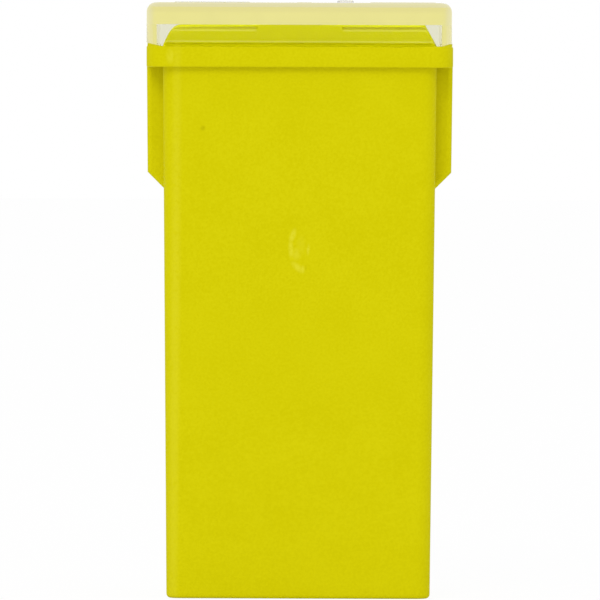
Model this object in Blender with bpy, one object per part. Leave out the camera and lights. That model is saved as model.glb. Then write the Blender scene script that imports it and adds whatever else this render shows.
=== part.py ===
"""A cartridge fuse with female terminals, in metres, +Z up.

The foot of the housing stands on Z = 0 and the front faces -Y. Two male tabs enter from below
through windows in the floor. The pieces are a moulded housing, a clear cap, a fuse element folded
from one strip, its tin pellet, and two steel spring clips.
"""

import math

import bmesh
import bpy

# Housing tube, with its width and depth where it meets the rim
TUBE_WIDTH = 0.01663
TUBE_DEPTH = 0.0112
TUBE_LENGTH = 0.0323
TUBE_CORNER = 0.0009
FOOT_RADIUS = 0.0005
TUBE_DRAFT_DEGREES = 0.54
WALL = 0.0012
DIVIDER = 0.0012
FLOOR = 0.0012
CORE_CORNER = 0.0004

# Rim round the top of the tube, and the sloped land along each of its ends
RIM_SIDE_REACH = 0.000995
RIM_FRONT_REACH = 0.0005
RIM_HEIGHT = 0.00127
RIM_CORNER = 0.0011
RIM_EDGE = 0.00012
LAND_RUN = 0.0009
LAND_RISE = 0.00018

# Side ears that guide the fuse into its block
EAR_INSET = 0.00002
EAR_DEPTH = 0.0066
EAR_LENGTH = 0.0064
EAR_EDGE = 0.0003
EAR_DRAFT_DEGREES = 0.6

# Neck inside the cap, with one rounded shoulder and one straight shoulder
NECK_HEIGHT = 0.00123
ROUND_SHOULDER_RUN = 0.00103
STRAIGHT_SHOULDER_RUN = 0.00073
NECK_CORNER = 0.0003
BLOCK_WIDTH = 0.0051
BEAD_HEIGHT = 0.0001
PANEL_DEPTH = 0.00014
PANEL_FOOT = 0.00022
PANEL_END = 0.00028
GROOVE_HEIGHT = 0.00018
GROOVE_DEPTH = 0.00016

# Windows in the floor for the male tabs, as wide as the mouths of the receptacles above them
WINDOW_MARGIN = 0.0004
WINDOW_LEAD_IN = 0.0004

# Clear cap
CAP_INSET = 0.00004
SKIRT_WALL = 0.00075
PLATE_THICKNESS = 0.0013
CAP_CORNER = 0.00105
CAP_TOP_RADIUS = 0.00055
CAP_INNER_CORNER = 0.00045
CAP_FOOT_EDGE = 0.0001

# Fuse element
SHEET = 0.0004
LEAF_BEND = 0.0006
WEB_TOP_DROP = 0.0035
WEB_LIFT = 0.0018
SHOULDER_DROP = 0.0015
CROWN_RISE = 0.0007
CROWN_HALF = 0.0016
LINK_RUN = 0.0010
FLARE_RUN = 0.0008
LINK_WIDTH = 0.0028
WAIST_WIDTH = 0.0012
CONTACT_HEIGHT = 0.0050
SPRING_LENGTH = 0.0060
CLOSE_LENGTH = 0.0050
CLOSE_OFFSET = 0.0013
CONTACT_GAP = 0.0005
MOUTH_GAP = 0.0024

# Tin pellet, riveted through the crown of the element
PELLET_HEAD_RADIUS = 0.00105
PELLET_SHANK_RADIUS = 0.00055
PELLET_HEAD_HEIGHT = 0.00032

# Steel spring clips
CLIP_SHEET = 0.0003
CLIP_LENGTH = 0.0055
CLIP_WEB_LENGTH = 0.0028
CLIP_BEND = 0.0005
CLIP_INSET = 0.0005

# Clearances between neighbouring pieces
SEAT_GAP = 0.0002
CEILING_GAP = 0.0001
NECK_CLEARANCE = 0.00018
ELEMENT_CLEARANCE = 0.0002
WEB_CLEARANCE = 0.00025
SHOULDER_CLEARANCE = 0.00025
DIVIDER_CLEARANCE = 0.0012
PELLET_CLEARANCE = 0.00005
CLIP_CLEARANCE = 0.0001

# How far a shape runs into the one that it is joined to or cut from
OVERLAP = 0.0005

CORNER_STEPS = 6
EDGE_STEPS = 3
BEND_STEPS = 4
CURVE_STEPS = 6
PELLET_STEPS = 24

# Heights and spans that follow from the sizes above
RIM_TOP = TUBE_LENGTH + RIM_HEIGHT
NECK_TOP = RIM_TOP + NECK_HEIGHT
CEILING = NECK_TOP + CEILING_GAP
CAP_TOP = CEILING + PLATE_THICKNESS
CAP_FOOT = RIM_TOP + SEAT_GAP
TUBE_TAPER = 2 * TUBE_LENGTH * math.tan(math.radians(TUBE_DRAFT_DEGREES))
CORE_WIDTH = TUBE_WIDTH - TUBE_TAPER - 2 * WALL
CORE_DEPTH = TUBE_DEPTH - TUBE_TAPER - 2 * WALL
RIM_WIDTH = TUBE_WIDTH + 2 * RIM_SIDE_REACH
RIM_DEPTH = TUBE_DEPTH + 2 * RIM_FRONT_REACH
CAP_WIDTH = RIM_WIDTH - 2 * CAP_INSET
CAP_DEPTH = RIM_DEPTH - 2 * CAP_INSET
NECK_WIDTH = CAP_WIDTH - 2 * (SKIRT_WALL + NECK_CLEARANCE)
NECK_DEPTH = CAP_DEPTH - 2 * (SKIRT_WALL + NECK_CLEARANCE)
POCKET_CENTRE = (DIVIDER + CORE_WIDTH) / 4
LEAF_OFFSET = (CORE_WIDTH - DIVIDER) / 4 - ELEMENT_CLEARANCE - SHEET / 2
LEAF_WIDTH = CORE_DEPTH - 2 * (WEB_CLEARANCE + SHEET / 2 + LEAF_BEND)
LEAF_FOOT = FLOOR + ELEMENT_CLEARANCE
CLOSE_FOOT = CONTACT_HEIGHT + SPRING_LENGTH
CLOSE_TOP = CLOSE_FOOT + CLOSE_LENGTH
SHOULDER_LEVEL = NECK_TOP - SHOULDER_DROP
CROWN_LEVEL = SHOULDER_LEVEL + CROWN_RISE
DIVIDER_TOP = SHOULDER_LEVEL - DIVIDER_CLEARANCE
WEB_TOP = SHOULDER_LEVEL - WEB_TOP_DROP
WEB_FOOT = CLOSE_TOP + WEB_LIFT
SHOULDER_WIDTH = CORE_DEPTH - 2 * SHOULDER_CLEARANCE
CLIP_TOP = CONTACT_HEIGHT + CLIP_LENGTH
WINDOW_WIDTH = MOUTH_GAP
WINDOW_DEPTH = LEAF_WIDTH + 2 * WINDOW_MARGIN

# Colour, roughness, metallic value and transmission of each finish
FINISHES = {
    "yellow_nylon": ((0.64, 0.60, 0.01), 0.5, 0.0, 0.0),
    "clear_plastic": ((0.93, 0.92, 0.80), 0.12, 0.0, 0.9),
    "plated_copper": ((0.72, 0.70, 0.66), 0.35, 1.0, 0.0),
    "tin": ((0.60, 0.60, 0.60), 0.45, 1.0, 0.0),
    "spring_steel": ((0.55, 0.55, 0.55), 0.3, 1.0, 0.0),
}


def clear_scene():
    """Removes every object that the scene starts with."""
    for obj in list(bpy.data.objects):
        bpy.data.objects.remove(obj, do_unlink=True)


def make_material(name):
    """A Principled material with the finish of that name."""
    colour, roughness, metallic, transmission = FINISHES[name]
    material = bpy.data.materials.new(name)
    material.use_nodes = True
    shader = material.node_tree.nodes["Principled BSDF"]
    shader.inputs["Base Color"].default_value = (*colour, 1.0)
    shader.inputs["Roughness"].default_value = roughness
    shader.inputs["Metallic"].default_value = metallic
    shader.inputs["Transmission Weight"].default_value = transmission
    return material


def add_object(name, bm, finish=None):
    """Turns a bmesh into an object, with its doubles merged and its edges over 35 degrees sharp."""
    bmesh.ops.remove_doubles(bm, verts=bm.verts, dist=1e-7)
    bmesh.ops.recalc_face_normals(bm, faces=bm.faces)
    mesh = bpy.data.meshes.new(name)
    bm.to_mesh(mesh)
    bm.free()
    mesh.shade_smooth()
    mesh.set_sharp_from_angle(angle=math.radians(35))
    obj = bpy.data.objects.new(name, mesh)
    bpy.context.collection.objects.link(obj)
    if finish:
        mesh.materials.append(make_material(finish))
    return obj


def combine(target, tool, operation):
    """Joins a hidden helper to the target, or cuts it out of the target."""
    tool.hide_render = True
    tool.display_type = "WIRE"
    modifier = target.modifiers.new(tool.name, "BOOLEAN")
    modifier.operation = operation
    modifier.solver = "EXACT"
    modifier.object = tool


def even_shading(obj):
    """Shades the flat faces flat and blends only the roundings, after the joins and cuts."""
    modifier = obj.modifiers.new("even_shading", "WEIGHTED_NORMAL")
    modifier.keep_sharp = True


def round_edges(bm, edges, radius, steps):
    """Rounds these edges, as far as the faces beside them allow."""
    bmesh.ops.bevel(
        bm,
        geom=edges,
        offset=radius,
        offset_type="OFFSET",
        segments=steps,
        profile=0.5,
        affect="EDGES",
        clamp_overlap=True,
        material=-1,
    )


def edges_at(bm, height):
    """The edges that lie level at this height."""
    return [edge for edge in bm.edges if all(abs(v.co.z - height) < 1e-7 for v in edge.verts)]


def upright_edges(bm):
    """The edges that run from one level to another."""
    return [edge for edge in bm.edges if abs(edge.verts[0].co.z - edge.verts[1].co.z) > 1e-6]


def block(width, depth, low, high, corner=0.0, taper=0.0, centre=0.0):
    """A box with rounded upright corners. Its foot is narrower than its top by the taper."""
    bm = bmesh.new()
    bmesh.ops.create_cube(bm, size=1.0)
    for vert in bm.verts:
        shrink = taper if vert.co.z < 0 else 0.0
        vert.co.x = centre + vert.co.x * (width - shrink)
        vert.co.y *= depth - shrink
        vert.co.z = low if vert.co.z < 0 else high
    if corner:
        round_edges(bm, upright_edges(bm), corner, CORNER_STEPS)
    return bm


def prism(outline, depth, centre=0.0):
    """An outline in the XZ plane, extruded through this depth in Y."""
    bm = bmesh.new()
    front = [bm.verts.new((x, centre - depth / 2, z)) for x, z in outline]
    face = bm.faces.new(front)
    swept = bmesh.ops.extrude_face_region(bm, geom=[face])["geom"]
    moved = [item for item in swept if isinstance(item, bmesh.types.BMVert)]
    bmesh.ops.translate(bm, verts=moved, vec=(0, depth, 0))
    return bm


def make_tube():
    """The drafted tube with its rounded corners and foot."""
    bm = block(TUBE_WIDTH, TUBE_DEPTH, 0.0, TUBE_LENGTH, TUBE_CORNER, TUBE_TAPER)
    round_edges(bm, edges_at(bm, 0.0), FOOT_RADIUS, EDGE_STEPS)
    return bm


def make_rim():
    """The proud band round the top of the tube."""
    bm = block(RIM_WIDTH, RIM_DEPTH, TUBE_LENGTH, RIM_TOP, RIM_CORNER)
    level = edges_at(bm, TUBE_LENGTH) + edges_at(bm, RIM_TOP)
    round_edges(bm, level, RIM_EDGE, 2)
    return bm


def make_land(side, lift=0.0):
    """The sloped land along one end of the rim, or the same shape grown to clear it."""
    outer = RIM_WIDTH / 2 - RIM_EDGE
    inner = RIM_WIDTH / 2 - LAND_RUN
    base = RIM_TOP - OVERLAP
    outline = [
        (side * inner, base),
        (side * (outer + lift), base),
        (side * (outer + lift), RIM_TOP + LAND_RISE + lift),
        (side * inner, RIM_TOP + lift),
    ]
    bm = prism(outline, RIM_DEPTH - 2 * RIM_EDGE + 2 * lift)
    corners = [edge for edge in upright_edges(bm) if all(abs(v.co.x) > inner + RIM_EDGE for v in edge.verts)]
    round_edges(bm, corners, LAND_RUN - 2 * RIM_EDGE, CORNER_STEPS)
    return bm


def make_ear(side):
    """One side ear: a drafted pad under the rim that ends in a 45 degree slope."""
    root = TUBE_WIDTH / 2 - WALL / 2
    top = TUBE_LENGTH + RIM_HEIGHT / 2
    reach = RIM_WIDTH / 2 - EAR_INSET
    draft = math.tan(math.radians(EAR_DRAFT_DEGREES))
    tip = reach - EAR_LENGTH * draft
    slope_top = TUBE_LENGTH - EAR_LENGTH
    outline = [
        (side * root, top),
        (side * reach, top),
        (side * reach, TUBE_LENGTH),
        (side * tip, slope_top),
        (side * root, slope_top - (tip - root)),
    ]
    bm = prism(outline, EAR_DEPTH)
    outer = [edge for edge in upright_edges(bm) if max(abs(v.co.x) for v in edge.verts) > TUBE_WIDTH / 2]
    round_edges(bm, outer, EAR_EDGE, EDGE_STEPS)
    return bm


def neck_outline():
    """The neck's front view: a rounded shoulder on the left and a straight one on the right."""
    half = NECK_WIDTH / 2
    base = RIM_TOP - OVERLAP
    points = [(-half, base), (half, base), (half, RIM_TOP), (half - STRAIGHT_SHOULDER_RUN, NECK_TOP)]
    for step in range(CURVE_STEPS + 1):
        turn = math.pi / 2 * step / CURVE_STEPS
        x = -half + ROUND_SHOULDER_RUN * (1 - math.sin(math.pi / 2 - turn))
        z = RIM_TOP + NECK_HEIGHT * math.sin(turn)
        points.insert(4, (x, z))
    return points


def make_neck():
    """The neck that the cap closes over."""
    bm = prism(neck_outline(), NECK_DEPTH)
    round_edges(bm, upright_edges(bm), NECK_CORNER, EDGE_STEPS)
    return bm


def panel_spans():
    """The inner and outer end, in X, of the sunk panels left and right of the middle block."""
    inner = BLOCK_WIDTH / 2
    left = NECK_WIDTH / 2 - ROUND_SHOULDER_RUN - PANEL_END
    right = NECK_WIDTH / 2 - STRAIGHT_SHOULDER_RUN - PANEL_END
    return [(-left, -inner), (inner, right)]


def make_panel_cut(span, face, height, low, sunk):
    """A cutter that sinks one panel or groove into the neck's front or back."""
    depth = sunk + OVERLAP
    outline = [(span[0], low), (span[1], low), (span[1], low + height), (span[0], low + height)]
    return prism(outline, depth, face * (NECK_DEPTH / 2 - sunk + depth / 2))


def make_window_cut(centre):
    """A tab window through the floor, with its lead-in slope at the outside."""
    bm = block(WINDOW_WIDTH, WINDOW_DEPTH, WINDOW_LEAD_IN, FLOOR + OVERLAP, centre=centre)
    foot = [face for face in bm.faces if all(abs(v.co.z - WINDOW_LEAD_IN) < 1e-7 for v in face.verts)]
    swept = bmesh.ops.extrude_face_region(bm, geom=foot)["geom"]
    bmesh.ops.delete(bm, geom=foot, context="FACES_ONLY")
    run = WINDOW_LEAD_IN + OVERLAP
    for vert in [item for item in swept if isinstance(item, bmesh.types.BMVert)]:
        vert.co.x += math.copysign(run, vert.co.x - centre)
        vert.co.y += math.copysign(run, vert.co.y)
        vert.co.z = -OVERLAP
    return bm


def build_housing():
    """The moulded housing: tube, rim, ears and neck in one, then its core and windows cut out."""
    housing = add_object("housing", make_tube(), "yellow_nylon")
    combine(housing, add_object("rim", make_rim()), "UNION")
    for name, side in (("left", -1), ("right", 1)):
        combine(housing, add_object(f"{name}_ear", make_ear(side)), "UNION")
        combine(housing, add_object(f"{name}_land", make_land(side)), "UNION")
    combine(housing, add_object("neck", make_neck()), "UNION")
    panel_low = RIM_TOP + PANEL_FOOT
    panel_top = NECK_TOP - BEAD_HEIGHT
    cuts = [
        ("panel", panel_low, panel_top - panel_low, PANEL_DEPTH),
        ("groove", panel_top - GROOVE_HEIGHT, GROOVE_HEIGHT, PANEL_DEPTH + GROOVE_DEPTH),
    ]
    for face in (-1, 1):
        for span in panel_spans():
            for name, low, height, sunk in cuts:
                cutter = make_panel_cut(span, face, height, low, sunk)
                combine(housing, add_object(f"{name}_cut", cutter), "DIFFERENCE")
    core = block(CORE_WIDTH, CORE_DEPTH, FLOOR, NECK_TOP + OVERLAP, CORE_CORNER)
    combine(housing, add_object("core_cut", core), "DIFFERENCE")
    divider = block(DIVIDER, CORE_DEPTH + WALL, FLOOR / 2, DIVIDER_TOP)
    combine(housing, add_object("divider", divider), "UNION")
    for centre in (-POCKET_CENTRE, POCKET_CENTRE):
        combine(housing, add_object("window_cut", make_window_cut(centre)), "DIFFERENCE")
    even_shading(housing)


def build_cap():
    """The clear cap: a plate with rounded edges and a skirt that closes over the neck."""
    shell = block(CAP_WIDTH, CAP_DEPTH, CAP_FOOT, CAP_TOP, CAP_CORNER)
    round_edges(shell, edges_at(shell, CAP_TOP), CAP_TOP_RADIUS, CORNER_STEPS)
    round_edges(shell, edges_at(shell, CAP_FOOT), CAP_FOOT_EDGE, 1)
    cap = add_object("clear_cap", shell, "clear_plastic")
    inner_width = CAP_WIDTH - 2 * SKIRT_WALL
    inner_depth = CAP_DEPTH - 2 * SKIRT_WALL
    hollow = block(inner_width, inner_depth, CAP_FOOT - OVERLAP, CEILING, CAP_INNER_CORNER)
    combine(cap, add_object("cap_hollow", hollow), "DIFFERENCE")
    for name, side in (("left", -1), ("right", 1)):
        combine(cap, add_object(f"{name}_land_cut", make_land(side, SEAT_GAP)), "DIFFERENCE")
    even_shading(cap)


def pull_edges(bm, edges, place):
    """Extrudes an open sheet's edges, puts each new vertex where place says, and returns the new edges."""
    swept = bmesh.ops.extrude_edge_only(bm, edges=edges)["geom"]
    verts = {item for item in swept if isinstance(item, bmesh.types.BMVert)}
    for vert in verts:
        vert.co = place(vert.co)
    found = [item for item in swept if isinstance(item, bmesh.types.BMEdge)]
    return [edge for edge in found if edge.verts[0] in verts and edge.verts[1] in verts]


def add_thickness(sheet, thickness):
    """Gives an open sheet its thickness, half to each side."""
    wall = sheet.modifiers.new("thickness", "SOLIDIFY")
    wall.thickness = thickness
    wall.offset = 0.0
    wall.use_even_offset = True


def channel_plan(offset, arm, bend, back):
    """A folded channel seen from above, centred on X = 0: an arm, a bend, the web, a bend and an arm.

    The web lies on the side of back, which is 1 for +Y and -1 for -Y."""
    half = arm / 2
    points = [(offset, -half * back), (offset, half * back)]
    for centre, start in ((offset - bend, 0.0), (bend - offset, math.pi / 2)):
        for step in range(BEND_STEPS + 1):
            turn = start + math.pi / 2 * step / BEND_STEPS
            x = centre + bend * math.cos(turn)
            y = back * (half + bend * math.sin(turn))
            points.append((x, y))
    points.append((-offset, -half * back))
    return points


def eased(start, end, share):
    """A smooth step from one value to another."""
    return start + (end - start) * (1 - math.cos(math.pi * share)) / 2


def leaf_offset(height):
    """How far a leaf's middle surface stands from its tab's centre plane, at this height."""
    contact = (CONTACT_GAP + SHEET) / 2
    mouth = (MOUTH_GAP + SHEET) / 2
    if height >= CLOSE_TOP:
        return LEAF_OFFSET
    if height >= CLOSE_FOOT:
        return eased(CLOSE_OFFSET, LEAF_OFFSET, (height - CLOSE_FOOT) / (CLOSE_TOP - CLOSE_FOOT))
    if height >= CONTACT_HEIGHT:
        share = (height - CONTACT_HEIGHT) / (CLOSE_FOOT - CONTACT_HEIGHT)
        return eased(contact, CLOSE_OFFSET, share)
    share = (CONTACT_HEIGHT - height) / (CONTACT_HEIGHT - LEAF_FOOT)
    return contact + (mouth - contact) * share**2


def levels(top, foot):
    """Evenly spaced heights from just under the top down to the foot."""
    return [top + (foot - top) * (step + 1) / CURVE_STEPS for step in range(CURVE_STEPS)]


def bridge_rows():
    """The element's bridge as (x, height, half width), from its outer bend in to the crown's centre."""
    outer = POCKET_CENTRE + LEAF_OFFSET
    rows = []
    for step in range(BEND_STEPS + 1):
        turn = math.pi / 2 * step / BEND_STEPS
        x = outer - LEAF_BEND * (1 - math.cos(turn))
        z = SHOULDER_LEVEL - LEAF_BEND * (1 - math.sin(turn))
        rows.append((x, z, eased(LEAF_WIDTH, SHOULDER_WIDTH, step / BEND_STEPS) / 2))
    flare = CROWN_HALF + LINK_RUN + FLARE_RUN
    rows.append((flare, SHOULDER_LEVEL, SHOULDER_WIDTH / 2))
    for step in range(1, BEND_STEPS + 1):
        share = step / BEND_STEPS
        half = (SHOULDER_WIDTH - (SHOULDER_WIDTH - WAIST_WIDTH) * math.sin(math.pi / 2 * share)) / 2
        rows.append((flare - FLARE_RUN * share, SHOULDER_LEVEL, half))
    for step in range(1, CURVE_STEPS + 1):
        share = step / CURVE_STEPS
        height = eased(SHOULDER_LEVEL, CROWN_LEVEL, share)
        rows.append((CROWN_HALF + LINK_RUN * (1 - share), height, WAIST_WIDTH / 2))
    for step in range(1, BEND_STEPS + 1):
        share = step / BEND_STEPS
        half = eased(WAIST_WIDTH, LINK_WIDTH, share) / 2
        rows.append((CROWN_HALF * (1 - share / 2), CROWN_LEVEL, half))
    rows.append((0.0, CROWN_LEVEL, LINK_WIDTH / 2))
    return rows


def build_element():
    """The fuse element: one sheet folded into two receptacles, joined by the fusible bridge."""
    bm = bmesh.new()
    plan = channel_plan(LEAF_OFFSET, LEAF_WIDTH, LEAF_BEND, 1)
    rim = [bm.verts.new((POCKET_CENTRE + x, y, WEB_TOP)) for x, y in plan]
    top = [bm.edges.new(pair) for pair in zip(rim, rim[1:])]
    outer_top = top[0]
    row = pull_edges(bm, top, lambda co: (co.x, co.y, WEB_FOOT))
    arm_ends = [edge for edge in row if abs(edge.calc_length() - LEAF_WIDTH) < 1e-6]
    for edge in arm_ends:
        side = math.copysign(1, edge.verts[0].co.x - POCKET_CENTRE)
        arm = [edge]
        heights = [CLOSE_TOP, *levels(CLOSE_TOP, CLOSE_FOOT), *levels(CLOSE_FOOT, CONTACT_HEIGHT)]
        for height in [*heights, *levels(CONTACT_HEIGHT, LEAF_FOOT)]:
            x = POCKET_CENTRE + side * leaf_offset(height)
            arm = pull_edges(bm, arm, lambda co, x=x, z=height: (x, co.y, z))
    arm = [outer_top]
    for x, height, half in bridge_rows():
        arm = pull_edges(bm, arm, lambda co, x=x, z=height, y=half: (x, math.copysign(y, co.y), z))
    bmesh.ops.mirror(bm, geom=bm.verts[:] + bm.edges[:] + bm.faces[:], axis="X", merge_dist=1e-7)
    element = add_object("fuse_element", bm, "plated_copper")
    add_thickness(element, SHEET)
    hole = bmesh.new()
    bmesh.ops.create_cone(
        hole,
        cap_ends=True,
        segments=PELLET_STEPS,
        radius1=PELLET_SHANK_RADIUS + PELLET_CLEARANCE,
        radius2=PELLET_SHANK_RADIUS + PELLET_CLEARANCE,
        depth=SHEET + 2 * OVERLAP,
    )
    bmesh.ops.translate(hole, verts=hole.verts, vec=(0, 0, CROWN_LEVEL))
    combine(element, add_object("pellet_hole", hole), "DIFFERENCE")


def build_pellet():
    """The tin pellet: a rivet with a domed head on each side of the crown."""
    bm = bmesh.new()
    gap = SHEET / 2 + PELLET_CLEARANCE
    profile = []
    for step in range(BEND_STEPS + 1):
        turn = math.pi / 2 * step / BEND_STEPS
        profile.append((PELLET_HEAD_RADIUS * math.sin(turn), gap + PELLET_HEAD_HEIGHT * math.cos(turn)))
    profile.append((PELLET_SHANK_RADIUS, gap))
    profile += [(radius, -height) for radius, height in reversed(profile)]
    verts = [bm.verts.new((radius, 0, CROWN_LEVEL + height)) for radius, height in profile]
    edges = [bm.edges.new(pair) for pair in zip(verts, verts[1:])]
    bmesh.ops.spin(
        bm,
        geom=verts + edges,
        cent=(0, 0, 0),
        axis=(0, 0, 1),
        dvec=(0, 0, 0),
        angle=2 * math.pi,
        steps=PELLET_STEPS,
        use_merge=True,
        use_duplicate=False,
    )
    add_object("tin_pellet", bm, "tin")


def build_clip(name, centre):
    """A steel clip that presses one receptacle's leaves together from outside."""
    bm = bmesh.new()
    stand_off = (SHEET + CLIP_SHEET) / 2 + CLIP_CLEARANCE
    arm_width = LEAF_WIDTH - CLIP_INSET
    front = -LEAF_WIDTH / 2 - CLIP_CLEARANCE
    plan = channel_plan(leaf_offset(CLIP_TOP) + stand_off, arm_width, CLIP_BEND, -1)
    rim = [bm.verts.new((x, y + front + arm_width / 2, CLIP_TOP)) for x, y in plan]
    top = [bm.edges.new(pair) for pair in zip(rim, rim[1:])]
    row = pull_edges(bm, top, lambda co: (co.x, co.y, CLIP_TOP - CLIP_WEB_LENGTH))
    tip = leaf_offset(CONTACT_HEIGHT) + stand_off
    arms = [edge for edge in row if abs(edge.calc_length() - arm_width) < 1e-6]
    pull_edges(bm, arms, lambda co: (math.copysign(tip, co.x), co.y, CONTACT_HEIGHT))
    clip = add_object(name, bm, "spring_steel")
    clip.location.x = centre
    add_thickness(clip, CLIP_SHEET)


def main():
    clear_scene()
    build_housing()
    build_cap()
    build_element()
    build_pellet()
    build_clip("left_spring_clip", -POCKET_CENTRE)
    build_clip("right_spring_clip", POCKET_CENTRE)


main()
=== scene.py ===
"""The looks of a plug-in cartridge fuse, in metres, +Z up, with its front facing -Y.

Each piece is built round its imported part: a moulded nylon housing, a clear cap, a fuse element
folded from one strip, its tin pellet, and two steel spring clips. They stand on a pale floor in
soft studio light.
"""

import logging
import math
from abc import ABC, abstractmethod
from collections.abc import Callable, Sequence
from dataclasses import dataclass
from enum import Enum

import bmesh
import bpy
from mathutils import Euler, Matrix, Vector, noise


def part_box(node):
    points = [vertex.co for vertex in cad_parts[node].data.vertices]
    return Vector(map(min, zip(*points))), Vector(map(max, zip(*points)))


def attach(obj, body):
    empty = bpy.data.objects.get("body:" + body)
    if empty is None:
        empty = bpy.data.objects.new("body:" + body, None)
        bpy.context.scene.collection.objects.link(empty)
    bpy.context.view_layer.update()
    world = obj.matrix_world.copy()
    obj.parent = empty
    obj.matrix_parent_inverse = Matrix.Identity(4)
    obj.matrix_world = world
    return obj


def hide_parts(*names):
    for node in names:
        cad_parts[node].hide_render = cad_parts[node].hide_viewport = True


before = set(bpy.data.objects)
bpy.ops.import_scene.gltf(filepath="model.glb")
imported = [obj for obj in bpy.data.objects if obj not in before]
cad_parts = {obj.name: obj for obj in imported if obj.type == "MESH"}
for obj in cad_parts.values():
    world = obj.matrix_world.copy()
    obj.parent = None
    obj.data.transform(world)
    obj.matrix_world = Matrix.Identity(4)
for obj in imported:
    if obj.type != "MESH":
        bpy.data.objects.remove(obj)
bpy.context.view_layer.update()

LOG = logging.getLogger("cartridge_fuse")
BODY = "root"

Colour = tuple[float, float, float]
Place = tuple[float, float, float]
Point = tuple[float, float]

BMesh = bmesh.types.BMesh
BMEdge = bmesh.types.BMEdge
BMVert = bmesh.types.BMVert
Material = bpy.types.Material
Node = bpy.types.Node
NodeSocket = bpy.types.NodeSocket
NodeTree = bpy.types.NodeTree
Object = bpy.types.Object
Sockets = bpy.types.NodeOutputs

WHITE = (1.0, 1.0, 1.0)

# Vertices nearer to each other than this are one vertex.
MERGE = 1e-7
# Faces that turn by more than this meet in a sharp edge.
SHARP_DEGREES = 35
# How far a cutter, or a solid that joins another one, reaches past the face that it meets.
OVERLAP = 0.0005


class Slot(Enum):
    """The record's material slots."""

    YELLOW_NYLON = "yellow_nylon"
    CLEAR_PLASTIC = "clear_plastic"
    PLATED_COPPER = "plated_copper"
    TIN = "tin"
    SPRING_STEEL = "spring_steel"


class Join(Enum):
    """How one solid is combined with another."""

    ADD = "UNION"
    CUT = "DIFFERENCE"


class Side(Enum):
    """One of two opposite sides, as its sign on the X axis, or on the Y axis for front and back."""

    LEFT = -1
    RIGHT = 1


def bevel_edges(bm: BMesh, edges: list, radius: float, steps: int) -> None:
    """Rounds edges, as far as the faces beside them allow.

    Args:
        bm: The mesh that holds the edges.
        edges: The edges to round.
        radius: The rounding's radius.
        steps: The number of faces across the rounding.
    """
    bmesh.ops.bevel(
        bm,
        geom=edges,
        offset=radius,
        offset_type="OFFSET",
        segments=steps,
        profile=0.5,
        affect="EDGES",
        clamp_overlap=True,
        material=-1,
    )


def level_edges(bm: BMesh, height: float) -> list:
    """The edges that lie level at a height."""
    return [edge for edge in bm.edges if all(abs(v.co.z - height) < MERGE for v in edge.verts)]


def upright_edges(bm: BMesh) -> list:
    """The edges that run from one level to another."""
    return [edge for edge in bm.edges if abs(edge.verts[0].co.z - edge.verts[1].co.z) > 10 * MERGE]


def everything(bm: BMesh) -> list:
    """All the vertices, edges and faces of a mesh."""
    return bm.verts[:] + bm.edges[:] + bm.faces[:]


def only(kind: type, items: Sequence[object]) -> list:
    """The items of one kind, from what an operator gives back."""
    return [item for item in items if isinstance(item, kind)]


def shift(bm: BMesh, x: float = 0.0, y: float = 0.0, z: float = 0.0) -> BMesh:
    """Moves a whole mesh and gives it back."""
    bmesh.ops.translate(bm, verts=bm.verts, vec=(x, y, z))
    return bm


def draw_line(bm: BMesh, points: Sequence[Sequence[float]]) -> list[BMEdge]:
    """Joins points in a row and gives the new edges."""
    verts = [bm.verts.new(point) for point in points]
    return [bm.edges.new(pair) for pair in zip(verts, verts[1:])]


def make_block(
    size: Point, low: float, high: float, corner: float = 0.0, steps: int = 1, taper: float = 0.0
) -> BMesh:
    """A box on the Z axis with rounded upright corners.

    Args:
        size: The width and depth of its top.
        low: The height of its foot.
        high: The height of its top.
        corner: The radius of its upright corners.
        steps: The number of faces across each corner.
        taper: How much narrower the foot is than the top.

    Returns:
        The new mesh.
    """
    bm = bmesh.new()
    bmesh.ops.create_cube(bm, size=1.0)
    for vert in bm.verts:
        shrink = taper if vert.co.z < 0 else 0.0
        vert.co.x *= size[0] - shrink
        vert.co.y *= size[1] - shrink
        vert.co.z = low if vert.co.z < 0 else high
    if corner:
        bevel_edges(bm, upright_edges(bm), corner, steps)
    return bm


def make_prism(outline: Sequence[Point], depth: float) -> BMesh:
    """An outline in the XZ plane, extruded along Y with its middle at Y = 0.

    Args:
        outline: The outline's corners in order.
        depth: The length of the extrusion.

    Returns:
        The new mesh.
    """
    bm = bmesh.new()
    face = bm.faces.new([bm.verts.new((x, -depth / 2, z)) for x, z in outline])
    swept = bmesh.ops.extrude_face_region(bm, geom=[face])["geom"]
    bmesh.ops.translate(bm, verts=only(BMVert, swept), vec=(0, depth, 0))
    return bm


def pull_edges(bm: BMesh, edges: list, place: Callable[[Vector], Place]) -> list[BMEdge]:
    """Extrudes the edges of an open sheet.

    Args:
        bm: The sheet.
        edges: The edges to extrude.
        place: Gives the place of each new vertex from the place of its old one.

    Returns:
        The new edges that run along the sheet's end.
    """
    swept = bmesh.ops.extrude_edge_only(bm, edges=edges)["geom"]
    verts = set(only(BMVert, swept))
    for vert in verts:
        vert.co = place(vert.co)
    return [edge for edge in only(BMEdge, swept) if verts.issuperset(edge.verts)]


def trim(bm: BMesh, place: Vector, beyond: Vector) -> None:
    """Cuts a solid off at a plane and closes it there.

    Args:
        bm: The solid's mesh.
        place: A point on the plane.
        beyond: The direction of the part that is cut away.
    """
    cut = bmesh.ops.bisect_plane(
        bm, geom=everything(bm), dist=MERGE, plane_co=place, plane_no=beyond, clear_outer=True
    )["geom_cut"]
    bmesh.ops.holes_fill(bm, edges=only(BMEdge, cut), sides=0)


def eased(start: float, end: float, share: float) -> float:
    """A smooth step from one value to another, for a share from 0 to 1."""
    return start + (end - start) * (1 - math.cos(math.pi * share)) / 2


def shares(steps: int) -> list[float]:
    """Even shares of a way, from the first step's end to 1."""
    return [(step + 1) / steps for step in range(steps)]


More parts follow.
